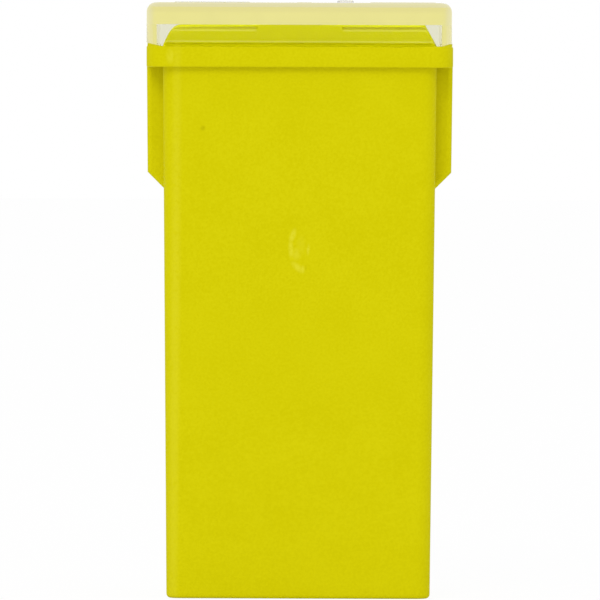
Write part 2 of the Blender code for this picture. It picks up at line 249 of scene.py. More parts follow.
def solid_object(name: str, bm: BMesh) -> Object:
    """Turns a bmesh into an object, with its doubles merged and its faces pointing outwards.

    Args:
        name: The object's name.
        bm: The mesh, which is freed.

    Returns:
        The new object.
    """
    bmesh.ops.remove_doubles(bm, verts=bm.verts, dist=MERGE)
    bmesh.ops.recalc_face_normals(bm, faces=bm.faces)
    mesh = bpy.data.meshes.new(name)
    bm.to_mesh(mesh)
    bm.free()
    obj = bpy.data.objects.new(name, mesh)
    bpy.context.scene.collection.objects.link(obj)
    return obj


def bake_modifiers(obj: Object) -> None:
    """Makes an object's modifiers part of its mesh."""
    graph = bpy.context.evaluated_depsgraph_get()
    shaped = bpy.data.meshes.new_from_object(obj.evaluated_get(graph))
    plain = obj.data
    obj.modifiers.clear()
    obj.data = shaped
    bpy.data.meshes.remove(plain)


def combine(target: Object, tools: Sequence[tuple[BMesh, Join]]) -> None:
    """Adds solids to an object or cuts them out of it, one after another.

    Args:
        target: The object that changes.
        tools: Each solid with the way it is combined.
    """
    helpers = []
    for bm, join in tools:
        helper = solid_object("helper", bm)
        helpers.append(helper)
        modifier = target.modifiers.new(join.name, "BOOLEAN")
        modifier.operation = join.value
        modifier.solver = "EXACT"
        modifier.object = helper
    bake_modifiers(target)
    for helper in helpers:
        mesh = helper.data
        bpy.data.objects.remove(helper)
        bpy.data.meshes.remove(mesh)


def soften_edges(obj: Object, width: float, steps: int) -> None:
    """Rounds every edge that is still sharp, and blends the shading only across the roundings.

    Args:
        obj: The object.
        width: The width of each rounding.
        steps: The number of faces across it.
    """
    bevel = obj.modifiers.new("soft_edges", "BEVEL")
    bevel.width = width
    bevel.segments = steps
    bevel.limit_method = "ANGLE"
    bevel.angle_limit = math.radians(SHARP_DEGREES)
    bake_modifiers(obj)
    obj.data.shade_smooth()
    obj.data.set_sharp_from_angle(angle=math.radians(SHARP_DEGREES))
    shading = obj.modifiers.new("even_shading", "WEIGHTED_NORMAL")
    shading.keep_sharp = True
    bake_modifiers(obj)


class NodeSheet:
    """One node tree, with short ways to add nodes to it and link them."""

    def __init__(self, tree: NodeTree) -> None:
        """Takes the tree and empties it."""
        self.tree = tree
        tree.nodes.clear()

    def add(self, kind: str, **settings: object) -> Node:
        """Adds a node.

        Args:
            kind: The node's type, without its ShaderNode prefix.
            **settings: Properties to set on it.

        Returns:
            The new node.
        """
        node = self.tree.nodes.new("ShaderNode" + kind)
        for key, value in settings.items():
            setattr(node, key, value)
        return node

    def feed(self, node: Node, **inputs: object) -> Node:
        """Sets or links a node's inputs.

        Args:
            node: The node.
            **inputs: A plain value or another node's output for each input, where an underscore in
                the name stands for a space and a name such as in_1 gives the input's number.

        Returns:
            The same node.
        """
        for key, value in inputs.items():
            socket = node.inputs[int(key[3:]) if key.startswith("in_") else key.replace("_", " ")]
            if isinstance(value, NodeSocket):
                self.tree.links.new(value, socket)
            else:
                socket.default_value = (*value, 1.0) if socket.type == "RGBA" else value
        return node

    def math(self, operation: str, *values: object) -> NodeSocket:
        """Applies a Math operation, to more than two values one after another.

        Args:
            operation: The Math node's operation.
            *values: Plain numbers or outputs.

        Returns:
            The result's output.
        """
        pair = {f"in_{index}": value for index, value in enumerate(values[:2])}
        result = self.feed(self.add("Math", operation=operation), **pair).outputs[0]
        return self.math(operation, result, *values[2:]) if values[2:] else result

    def vectors(self, operation: str, first: object, second: object) -> Sockets:
        """Applies a Vector Math operation to two vectors."""
        node = self.add("VectorMath", operation=operation)
        return self.feed(node, in_0=first, in_1=second).outputs

    def axes(self, vector: NodeSocket) -> Sockets:
        """Splits a vector into its X, Y and Z."""
        return self.feed(self.add("SeparateXYZ"), Vector=vector).outputs

    def normal(self) -> NodeSocket:
        """The surface's normal."""
        return self.add("NewGeometry").outputs["Normal"]

    def ramp(self, value: object, span: Point, result: Point = (0.0, 1.0)) -> NodeSocket:
        """Maps a value smoothly from one range to another.

        Args:
            value: The output to map.
            span: The two values that give the two results.
            result: The results at the two ends of the span.

        Returns:
            The mapped output.
        """
        node = self.add("MapRange", interpolation_type="SMOOTHSTEP")
        low, high = span
        start, end = result
        self.feed(node, Value=value, From_Min=low, From_Max=high, To_Min=start, To_Max=end)
        return node.outputs["Result"]

    def past(self, value: object, level: float, step: float) -> NodeSocket:
        """0 up to a level, and 1 from a step beyond it. A negative step looks below the level."""
        return self.ramp(value, (level, level + step))

    def blend(self, factor: object, first: object, second: object) -> NodeSocket:
        """Mixes two colours and returns the mixed colour's output."""
        node = self.add("Mix", data_type="RGBA")
        return self.feed(node, in_0=factor, in_6=first, in_7=second).outputs[2]

    def mix_shaders(self, factor: object, first: Node, second: Node) -> Node:
        """Mixes two shaders."""
        sockets = {"in_0": factor, "in_1": first.outputs[0], "in_2": second.outputs[0]}
        return self.feed(self.add("MixShader"), **sockets)

    def noise(self, vector: object, size: object, detail: float = 2.0) -> NodeSocket:
        """A noise from 0 to 1 whose features have about this size in metres."""
        node = self.add("TexNoise", normalize=True)
        scale = self.math("DIVIDE", 1.0, size)
        return self.feed(node, Vector=vector, Scale=scale, Detail=detail).outputs[0]

    def inlet(self) -> Sockets:
        """Adds a group's input node and gives its sockets."""
        return self.tree.nodes.new("NodeGroupInput").outputs

    def outlet(self, **outputs: object) -> NodeTree:
        """Adds a group's output node, links its sockets and gives the finished group."""
        self.feed(self.tree.nodes.new("NodeGroupOutput"), **outputs)
        return self.tree


def new_group(name: str, inputs: Sequence[str], outputs: Sequence[str]) -> NodeSheet:
    """Starts a shader node group, whose sockets are numbers apart from one named Vector.

    Args:
        name: The group's name.
        inputs: The names of its inputs.
        outputs: The names of its outputs.

    Returns:
        The group's empty tree.
    """
    group = bpy.data.node_groups.new(name, "ShaderNodeTree")
    for in_out, labels in (("INPUT", inputs), ("OUTPUT", outputs)):
        for label in labels:
            kind = "NodeSocketVector" if label == "Vector" else "NodeSocketFloat"
            group.interface.new_socket(name=label, in_out=in_out, socket_type=kind)
    return NodeSheet(group)


@dataclass
class Effects:
    """The surface effects that several finishes share, each a node group that is built once."""

    fine_detail: float = 3.0
    slow_detail: float = 1.0
    grain_span: Point = (0.3, 0.7)
    line_span: Point = (0.35, 0.65)
    edge_samples: int = 4
    edge_span: Point = (0.995, 0.85)
    stroke_span: Point = (1.35, 0.15)

    def __post_init__(self) -> None:
        """Builds every group."""
        self.grain = self.build_grain()
        self.lines = self.build_lines()
        self.edges = self.build_edges()
        self.stroke = self.build_stroke()

    def build_grain(self) -> NodeTree:
        """A moulded or cast surface: a fine grain over slow ripples."""
        inputs = ("Vector", "Grain Size", "Ripple Size", "Ripple Share")
        sheet = new_group("Surface grain", inputs, ("Height", "Shade"))
        source = sheet.inlet()
        fine = sheet.noise(source["Vector"], source["Grain Size"], self.fine_detail)
        slow = sheet.noise(source["Vector"], source["Ripple Size"], self.slow_detail)
        mixed = sheet.add("Mix", data_type="FLOAT")
        sheet.feed(mixed, in_0=source["Ripple Share"], in_2=fine, in_3=slow)
        height = mixed.outputs[0]
        return sheet.outlet(Height=height, Shade=sheet.ramp(height, self.grain_span))

    def build_lines(self) -> NodeTree:
        """Drawn or rolled metal: fine lines along Z, broken up along their length."""
        inputs = ("Vector", "Line Width", "Line Length")
        sheet = new_group("Drawn lines", inputs, ("Height", "Shade"))
        source = sheet.inlet()
        squeeze = sheet.math("DIVIDE", source["Line Width"], source["Line Length"])
        stretch = sheet.feed(sheet.add("CombineXYZ"), X=1.0, Y=1.0, Z=squeeze).outputs[0]
        place = sheet.vectors("MULTIPLY", source["Vector"], stretch)[0]
        lines = sheet.noise(place, source["Line Width"], self.fine_detail)
        return sheet.outlet(Height=lines, Shade=sheet.ramp(lines, self.line_span))

    def build_edges(self) -> NodeTree:
        """A mask that is 1 along outer and inner edges, as wide as the radius."""
        sheet = new_group("Edge mask", ("Radius",), ("Mask",))
        rounded = sheet.add("Bevel", samples=self.edge_samples)
        sheet.feed(rounded, Radius=sheet.inlet()["Radius"])
        turn = sheet.vectors("DOT_PRODUCT", rounded.outputs[0], sheet.normal())["Value"]
        return sheet.outlet(Mask=sheet.ramp(turn, self.edge_span))

    def build_stroke(self) -> NodeTree:
        """A soft oval stroke on a front face, turned about its centre."""
        inputs = ("Vector", "Centre X", "Centre Z", "Half Width", "Half Height", "Turn")
        sheet = new_group("Soft stroke", inputs, ("Mask",))
        source = sheet.inlet()
        middle = sheet.add("CombineXYZ")
        centre = sheet.feed(middle, X=source["Centre X"], Z=source["Centre Z"]).outputs[0]
        turned = sheet.add("VectorRotate", rotation_type="Y_AXIS")
        sheet.feed(turned, Vector=source["Vector"], Center=centre, Angle=source["Turn"])
        away = sheet.axes(sheet.vectors("SUBTRACT", turned.outputs[0], centre)[0])
        across = sheet.math("POWER", sheet.math("DIVIDE", away[0], source["Half Width"]), 2.0)
        along = sheet.math("POWER", sheet.math("DIVIDE", away[2], source["Half Height"]), 2.0)
        reach = sheet.math("SQRT", sheet.math("ADD", across, along))
        front = sheet.math("LESS_THAN", away[1], 0.0)
        return sheet.outlet(Mask=sheet.math("MULTIPLY", sheet.ramp(reach, self.stroke_span), front))


@dataclass
class Coating:
    """A material under construction: its node sheet, its shader and its object coordinates."""

    name: str
    effects: Effects

    def __post_init__(self) -> None:
        """Makes the material with a Principled shader and an output."""
        self.material = bpy.data.materials.new(self.name)
        self.material.use_nodes = True
        self.sheet = NodeSheet(self.material.node_tree)
        self.shader = self.sheet.add("BsdfPrincipled")
        self.output = self.sheet.add("OutputMaterial")
        self.sheet.feed(self.output, Surface=self.shader.outputs[0])
        self.place = self.sheet.add("TexCoord").outputs["Object"]

    def effect(self, tree: NodeTree, **inputs: object) -> Sockets:
        """Places one of the shared effects on the surface, with its own values."""
        node = self.sheet.add("Group", node_tree=tree)
        if "Vector" in node.inputs:
            inputs["Vector"] = self.place
        return self.sheet.feed(node, **inputs).outputs

    def grain(self, size: float, ripple: float, share: float) -> Sockets:
        """Places the moulded or cast grain, with the sizes and the share of its ripples."""
        sizes = {"Grain_Size": size, "Ripple_Size": ripple, "Ripple_Share": share}
        return self.effect(self.effects.grain, **sizes)

    def roughen(self, surface: Sockets, roughness: Point, depth: float) -> None:
        """Takes the shader's roughness and relief from an effect.

        Args:
            surface: The effect's Height and Shade.
            roughness: The roughness where the shade is 1, and where it is 0.
            depth: The depth of the relief in metres.
        """
        rough = self.sheet.ramp(surface["Shade"], (0.0, 1.0), roughness[::-1])
        bump = self.sheet.add("Bump")
        self.sheet.feed(bump, Height=surface["Height"], Distance=depth, Strength=1.0)
        self.sheet.feed(self.shader, Roughness=rough, Normal=bump.outputs[0])


@dataclass(frozen=True)
class Stroke:
    """A soft pale or dark stroke on the front face, from one rub or speck, or a painted highlight.
    """

    centre: Point
    radii: Point
    lean_degrees: float
    strength: float


@dataclass(frozen=True)
class Nylon:
    """Matte moulded nylon in bright yellow, with a fine grain, rub marks and specks, and painted
    light: highlights on its edges, neck and front, a neck painted brighter, and shade at the neck's
    foot.
    """

    colour: Colour = (0.668, 0.618, 0.0018)
    deep: Colour = (0.627, 0.575, 0.0003)
    # Painted light: the neck's colour, brighter than the body's to make up for the light the cap
    # holds back.
    neck: Colour = (0.698, 0.679, 0.0022)
    rub_and_highlight_pale: Colour = (0.74, 0.69, 0.026)
    neck_top_highlight: Colour = (0.83, 0.83, 0.007)
    line_and_band_highlight: Colour = (0.77, 0.74, 0.085)
    soil: Colour = (0.30, 0.26, 0.0)
    roughness: Point = (0.5, 0.65)
    specular: float = 0.025
    grain_size: float = 0.00016
    ripple_size: float = 0.0022
    ripple_share: float = 0.25
    grain_depth: float = 0.000012
    edge_radius: float = 0.00012
    edge_highlight_strength: float = 0.30
    step: float = 0.0001
    neck_foot: float = 0.0334
    neck_reach: Point = (0.0088, 0.0056)
    neck_edge_highlight: float = 0.65
    slope_highlight_foot: float = 0.03474
    slope_highlight_step: float = 0.00003
    slope_highlight_facing: Point = (0.25, 0.55)
    line_highlight_heights: Point = (0.03454, 0.03386)
    line_highlight_width: float = 0.00008
    flank_start: float = 0.0026
    pale_band_heights: Point = (0.03450, 0.03480)
    pale_band_strength: float = 0.45
    shade: Colour = (0.57, 0.56, 0.0)
    shade_heights: Point = (0.03377, 0.03371)
    rub_and_highlight_break: float = 0.0002
    rub_and_highlight_span: Point = (0.3, 0.5)
    rub_and_highlight_wear: Point = (0.45, 1.0)
    rubs_and_highlights: tuple[Stroke, ...] = (
        Stroke((-0.00040, 0.02208), (0.00018, 0.00046), 18.0, 0.9),
        Stroke((-0.00050, 0.02126), (0.00016, 0.00058), -3.0, 0.9),
        Stroke((-0.00020, 0.02098), (0.00032, 0.00040), 0.0, 0.5),
        Stroke((0.00010, 0.02150), (0.00030, 0.00060), 0.0, 0.2),
        Stroke((-0.00010, 0.02016), (0.00021, 0.00048), -48.0, 0.8),
        Stroke((0.00021, 0.02003), (0.00013, 0.00026), 0.0, 0.75),
        Stroke((0.00055, 0.02124), (0.00011, 0.00034), 3.0, 0.7),
        # Painted highlight: a soft pale patch on the rim's front near its left corner.
        Stroke((-0.00785, 0.03296), (0.00026, 0.00050), 0.0, 0.6),
        # Painted highlight: a long pale band down the body near its left corner, where the rounding
        # catches the light.
        Stroke((-0.00753, 0.01400), (0.00032, 0.03200), 0.25, 0.35),
    )
    specks: tuple[Stroke, ...] = (
        Stroke((0.00041, 0.02014), (0.00007, 0.00022), 0.0, 0.16),
        Stroke((-0.00587, 0.02860), (0.00018, 0.00018), 0.0, 0.30),
    )

    def stroke_mask(self, coat: Coating, strokes: Sequence[Stroke]) -> NodeSocket:
        """The strongest of several strokes at each place.

        Args:
            coat: The material under construction.
            strokes: The strokes.

        Returns:
            The mask's output.
        """
        masks = []
        for stroke in strokes:
            soft = coat.effect(
                coat.effects.stroke,
                Centre_X=stroke.centre[0],
                Centre_Z=stroke.centre[1],
                Half_Width=stroke.radii[0],
                Half_Height=stroke.radii[1],
                Turn=-math.radians(stroke.lean_degrees),
            )
            masks.append(coat.sheet.math("MULTIPLY", soft["Mask"], stroke.strength))
        return coat.sheet.math("MAXIMUM", *masks)

    def paint_neck_light_and_shade(self, coat: Coating, body: NodeSocket, edges: NodeSocket) -> NodeSocket:
        """Paints light and shade on the neck under the cap: a brighter colour to make up for the
        light the cap holds back, highlights on its upward slopes, edges and two level lines, a
        paler band over its groove, and shade along its foot.

        Args:
            coat: The material under construction.
            body: The colour so far.
            edges: The mask of all edges.

        Returns:
            The new colour.
        """
        sheet = coat.sheet
        place = sheet.axes(coat.place)
        height = place[2]
        aside = [sheet.math("ABSOLUTE", place[axis]) for axis in (0, 1)]
        rise = sheet.axes(sheet.normal())[2]
        on_neck = sheet.past(height, self.neck_foot, self.step)
        for away, reach in zip(aside, self.neck_reach):
            on_neck = sheet.math("MULTIPLY", on_neck, sheet.past(away, reach, -self.step))
        # Painted light: the whole neck painted brighter than the body.
        body = sheet.blend(on_neck, body, self.neck)
        # Painted highlight: two thin level lines on the neck, one at its groove's lower edge and
        # one just above the skirt's foot, painted paler.
        upper, lower = [self.scuff_line(coat, height, level) for level in self.line_highlight_heights]
        ends = sheet.past(aside[0], self.flank_start, self.step)
        highlit_lines = sheet.math("MAXIMUM", sheet.math("MULTIPLY", upper, ends), lower)
        # Painted light: a band over the neck's groove painted paler, lifting the groove's shade.
        above = sheet.past(height, self.pale_band_heights[0], self.step)
        below = sheet.past(height, self.pale_band_heights[1], -self.step)
        pale_band = sheet.math("MULTIPLY", above, below, ends, self.pale_band_strength)
        body = sheet.blend(sheet.math("MAXIMUM", highlit_lines, pale_band), body, self.line_and_band_highlight)
        # Painted highlight: the neck's upward-facing slopes near its top painted paler, as if lit
        # from above.
        near_neck_top = sheet.past(height, self.slope_highlight_foot, self.slope_highlight_step)
        slope = sheet.math("MULTIPLY", near_neck_top, sheet.ramp(rise, self.slope_highlight_facing))
        # Painted highlight: the neck's edges painted paler.
        worn = sheet.math("MULTIPLY", on_neck, self.neck_edge_highlight, edges)
        body = sheet.blend(sheet.math("MAXIMUM", worn, slope), body, self.neck_top_highlight)
        shaded = sheet.math("MULTIPLY", on_neck, sheet.ramp(height, self.shade_heights))
        return sheet.blend(shaded, body, self.shade)

    def scuff_line(self, coat: Coating, height: NodeSocket, level: float) -> NodeSocket:
        """A painted highlight along one level line on the neck."""
        away = coat.sheet.math("ABSOLUTE", coat.sheet.math("SUBTRACT", height, level))
        return coat.sheet.ramp(away, (self.line_highlight_width, 0.0))

    def material(self, effects: Effects) -> Material:
        """Builds the material.

        Args:
            effects: The shared surface effects.

        Returns:
            The finished material.
        """
        coat = Coating("moulded_nylon", effects)
        sheet = coat.sheet
        grain = coat.grain(self.grain_size, self.ripple_size, self.ripple_share)
        edges = coat.effect(effects.edges, Radius=self.edge_radius)["Mask"]
        body = sheet.blend(grain["Shade"], self.deep, self.colour)
        # Painted highlight: every edge of the nylon painted paler, as the light its roundings
        # catch.
        body = sheet.blend(sheet.math("MULTIPLY", edges, self.edge_highlight_strength), body, self.rub_and_highlight_pale)
        body = self.paint_neck_light_and_shade(coat, body, edges)
        # Rub marks painted paler, together with the two painted highlights among the strokes.
        worn = sheet.ramp(sheet.noise(coat.place, self.rub_and_highlight_break), self.rub_and_highlight_span, self.rub_and_highlight_wear)
        rubbed_and_highlit = sheet.math("MULTIPLY", self.stroke_mask(coat, self.rubs_and_highlights), worn)
        body = sheet.blend(rubbed_and_highlit, body, self.rub_and_highlight_pale)
        body = sheet.blend(self.stroke_mask(coat, self.specks), body, self.soil)
        sheet.feed(coat.shader, Base_Color=body, Specular_IOR_Level=self.specular)
        coat.roughen(grain, self.roughness, self.grain_depth)
        return coat.material


@dataclass(frozen=True)
class ClearPlastic:
    """Clear moulded plastic, pale yellow where the eye looks along it, which lets lamps through."""

    surface: Colour = (0.925, 0.92, 0.885)
    edge: Colour = (0.72, 0.705, 0.87)
    skirt: Colour = (0.79, 0.82, 0.98)
    inside: Colour = (0.995, 0.955, 0.70)
    shoulder: Colour = (0.88, 0.865, 0.86)
    shoulder_heights: Point = (0.03552, 0.03580)
    plate_foot: float = 0.0349
    lamp_side: Colour = (0.995, 0.99, 0.97)
    absorbed: Colour = (0.922, 0.874, 0.167)
    density: float = 110.0
    roughness: Point = (0.02, 0.05)
    edge_radius: float = 0.00009
    gloss: Point = (0.035, 1.0)
    coat_refraction: float = 2.4
    refraction: float = 1.035
    specular: float = 0.2
    ripple_size: float = 0.0016
    ripple_share: float = 0.85
    ripple_wear: float = 0.97
    grain_size: float = 0.0003
    ripple_depth: float = 0.000004
    corner_span: Point = (0.4, 0.9)
    corner_strength: float = 0.7
    round_span: Point = (0.42, 0.58)
    flat_span: Point = (0.999, 0.97)

    def bright_places(
        self, coat: Coating, facing: Sockets, on_plate: NodeSocket, outer: NodeSocket
    ) -> NodeSocket:
        """The cap's edges and rounded corners, which catch the light: they take a painted
        reflection tint, and real gloss from the coat.

        Args:
            coat: The material under construction.
            facing: The X, Y and Z of the surface's normal.
            on_plate: 1 on the plate, and 0 on the skirt below it.
            outer: 1 on the plate and on the skirt's outside.

        Returns:
            The mask's output.
        """
        sheet = coat.sheet
        edges = coat.effect(coat.effects.edges, Radius=self.edge_radius)["Mask"]
        sideways = sheet.math("ABSOLUTE", facing[0])
        turned = sheet.ramp(sideways, self.corner_span, (0.0, self.corner_strength))
        corners = sheet.math("MULTIPLY", turned, sheet.ramp(sideways, self.flat_span))
        upward = [sheet.ramp(facing[2], span) for span in (self.round_span, self.flat_span)]
        round_top = sheet.math("MULTIPLY", *upward)
        top = sheet.math("MULTIPLY", sheet.math("MAXIMUM", edges, round_top), on_plate)
        return sheet.math("MAXIMUM", top, sheet.math("MULTIPLY", corners, outer))

    def let_light_through(self, coat: Coating) -> None:
        """Lets the lamps' light through, and colours what is seen through the plastic's depth."""
        sheet = coat.sheet
        lamps = sheet.feed(sheet.add("BsdfTransparent"), Color=self.lamp_side)
        shadow = sheet.add("LightPath").outputs["Is Shadow Ray"]
        mix = sheet.mix_shaders(shadow, coat.shader, lamps)
        depth = sheet.feed(sheet.add("VolumeAbsorption"), Color=self.absorbed, Density=self.density)
        sheet.feed(coat.output, Surface=mix.outputs[0], Volume=depth.outputs[0])

    def material(self, effects: Effects) -> Material:
        """Builds the material.

        Args:
            effects: The shared surface effects.

        Returns:
            The finished material.
        """
        coat = Coating("clear_cap_plastic", effects)
        sheet = coat.sheet
        ripple = coat.grain(self.grain_size, self.ripple_size, self.ripple_share)
        worn = tuple(value * self.ripple_wear for value in self.surface)
        facing, place = sheet.axes(sheet.normal()), sheet.axes(coat.place)
        outward = [sheet.math("MULTIPLY", facing[axis], place[axis]) for axis in (0, 1)]
        on_plate = sheet.math("GREATER_THAN", place[2], self.plate_foot)
        outside = sheet.math("GREATER_THAN", sheet.math("ADD", *outward), 0.0)
        outer = sheet.math("MAXIMUM", outside, on_plate)
        bright = self.bright_places(coat, facing, on_plate, outer)
        tint = sheet.blend(ripple["Shade"], worn, self.surface)
        tint = sheet.blend(on_plate, sheet.blend(outer, self.inside, self.skirt), tint)
        tint = sheet.blend(sheet.ramp(place[2], self.shoulder_heights), tint, self.shoulder)
        # Painted reflection: edges and rounded corners tinted grey-lilac, as the surround they
        # mirror.
        tint = sheet.blend(bright, tint, self.edge)
        gloss = sheet.ramp(bright, (0.0, 1.0), self.gloss)
        sheet.feed(
            coat.shader,
            Base_Color=tint,
            Coat_Weight=gloss,
            Coat_IOR=self.coat_refraction,
            IOR=self.refraction,
            Specular_IOR_Level=self.specular,
            Transmission_Weight=1.0,
        )
        coat.roughen(ripple, self.roughness, self.ripple_depth)
        self.let_light_through(coat)
        return coat.material


@dataclass(frozen=True)
class Metal:
    """Rolled or cast metal, with lines or a grain in its shade, roughness and relief, and painted
    highlights along its edges.
    """

    name: str
    colour: Colour
    dark: Colour
    roughness: Point
    lined: bool
    feature: float
    length: float
    depth: float
    ripple_share: float = 0.4
    edge_radius: float = 0.00006
    edge_gain: float = 1.15
    edge_highlight_strength: float = 0.5

    def material(self, effects: Effects) -> Material:
        """Builds the material.

        Args:
            effects: The shared surface effects.

        Returns:
            The finished material.
        """
        coat = Coating(self.name, effects)
        sheet = coat.sheet
        if self.lined:
            relief = coat.effect(effects.lines, Line_Width=self.feature, Line_Length=self.length)
        else:
            relief = coat.grain(self.feature, self.length, self.ripple_share)
        edges = coat.effect(effects.edges, Radius=self.edge_radius)["Mask"]
        body = sheet.blend(relief["Shade"], self.dark, self.colour)
        # Painted highlight: the edges painted brighter than the metal.
        bright = tuple(min(1.0, value * self.edge_gain) for value in self.colour)
        body = sheet.blend(sheet.math("MULTIPLY", edges, self.edge_highlight_strength), body, bright)
        sheet.feed(coat.shader, Base_Color=body, Metallic=1.0)
        coat.roughen(relief, self.roughness, self.depth)
        return coat.material


PLATED_COPPER = Metal(
    name="tin_plated_copper",
    colour=(0.74, 0.72, 0.68),
    dark=(0.60, 0.58, 0.55),
    roughness=(0.28, 0.42),
    lined=True,
    feature=0.00005,
    length=0.003,
    depth=0.000002,
)
BARE_COPPER = Metal(
    name="bare_copper_edge",
    colour=(0.85, 0.50, 0.33),
    dark=(0.66, 0.36, 0.24),
    roughness=(0.35, 0.5),
    lined=True,
    feature=0.00004,
    length=0.0004,
    depth=0.000003,
)
DULL_TIN = Metal(
    name="dull_tin",
    colour=(0.64, 0.64, 0.65),
    dark=(0.46, 0.46, 0.47),
    roughness=(0.38, 0.58),
    lined=False,
    feature=0.00012,
    length=0.0005,
    depth=0.000008,
)
SPRING_STEEL = Metal(
    name="spring_steel",
    colour=(0.58, 0.58, 0.60),
    dark=(0.44, 0.43, 0.44),
    roughness=(0.22, 0.36),
    lined=True,
    feature=0.00004,
    length=0.002,
    depth=0.000002,
)

Finish = Nylon | ClearPlastic | Metal


@dataclass(frozen=True)
class Lands:
    """The sloped lands along the rim's two ends, which hold the cap's skirt."""

    runs: Point = (0.0009, 0.0007)
    rise: float = 0.00018
    inset: float = 0.00005
    rim_corner: float = 0.0011
    steps: int = 12

    def slope(self, side: Side, half: float, top: float) -> tuple[Vector, Vector]:
        """A point and the upward direction of one land's sloping face.

        Args:
            side: The end of the rim.
            half: Half the rim's width.
            top: The height of the rim's top.

        Returns:
            The point at the land's inner edge, and the face's normal.
        """
        run = self.runs[0] if side is Side.LEFT else self.runs[1]
        normal = Vector((-side.value * self.rise, 0, run - self.inset))
        return Vector((side.value * (half - run), 0, top)), normal.normalized()

    def solid(self, side: Side, rim: Point, top: float) -> BMesh:
        """One land, which follows the rim's outline.

        Args:
            side: The end of the rim.
            rim: The rim's width and depth.
            top: The height of the rim's top.

        Returns:
            The new mesh.
        """
        size = (rim[0] - 2 * self.inset, rim[1] - 2 * self.inset)
        corner = self.rim_corner - self.inset
        bm = make_block(size, top - OVERLAP, top + OVERLAP, corner, self.steps)
        place, normal = self.slope(side, rim[0] / 2, top)
        trim(bm, place, normal)
        trim(bm, place, Vector((-side.value, 0, 0)))
        return bm


@dataclass
class Piece(ABC):
    """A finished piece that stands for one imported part."""

    name: str
    node: str
    slot: Slot
    finishes: tuple[Finish, ...]

    def __post_init__(self) -> None:
        """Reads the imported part's box."""
        self.low, self.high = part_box(self.node)

    @abstractmethod
    def build(self) -> Object:
        """Builds the piece's mesh."""

    def dress(self, obj: Object, effects: Effects) -> None:
        """Gives the piece its finishes."""
        obj.data.materials.clear()
        for finish in self.finishes:
            obj.data.materials.append(finish.material(effects))

    def make(self, effects: Effects) -> Object:
        """Builds and dresses the piece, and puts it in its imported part's place.

        Args:
            effects: The shared surface effects.

        Returns:
            The finished piece.
        """
        obj = self.build()
        self.dress(obj, effects)
        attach(obj, BODY)
        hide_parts(self.node)
        faces = sum(len(polygon.vertices) - 2 for polygon in obj.data.polygons)
        LOG.info("%s: %d triangles", self.name, faces)
        return obj


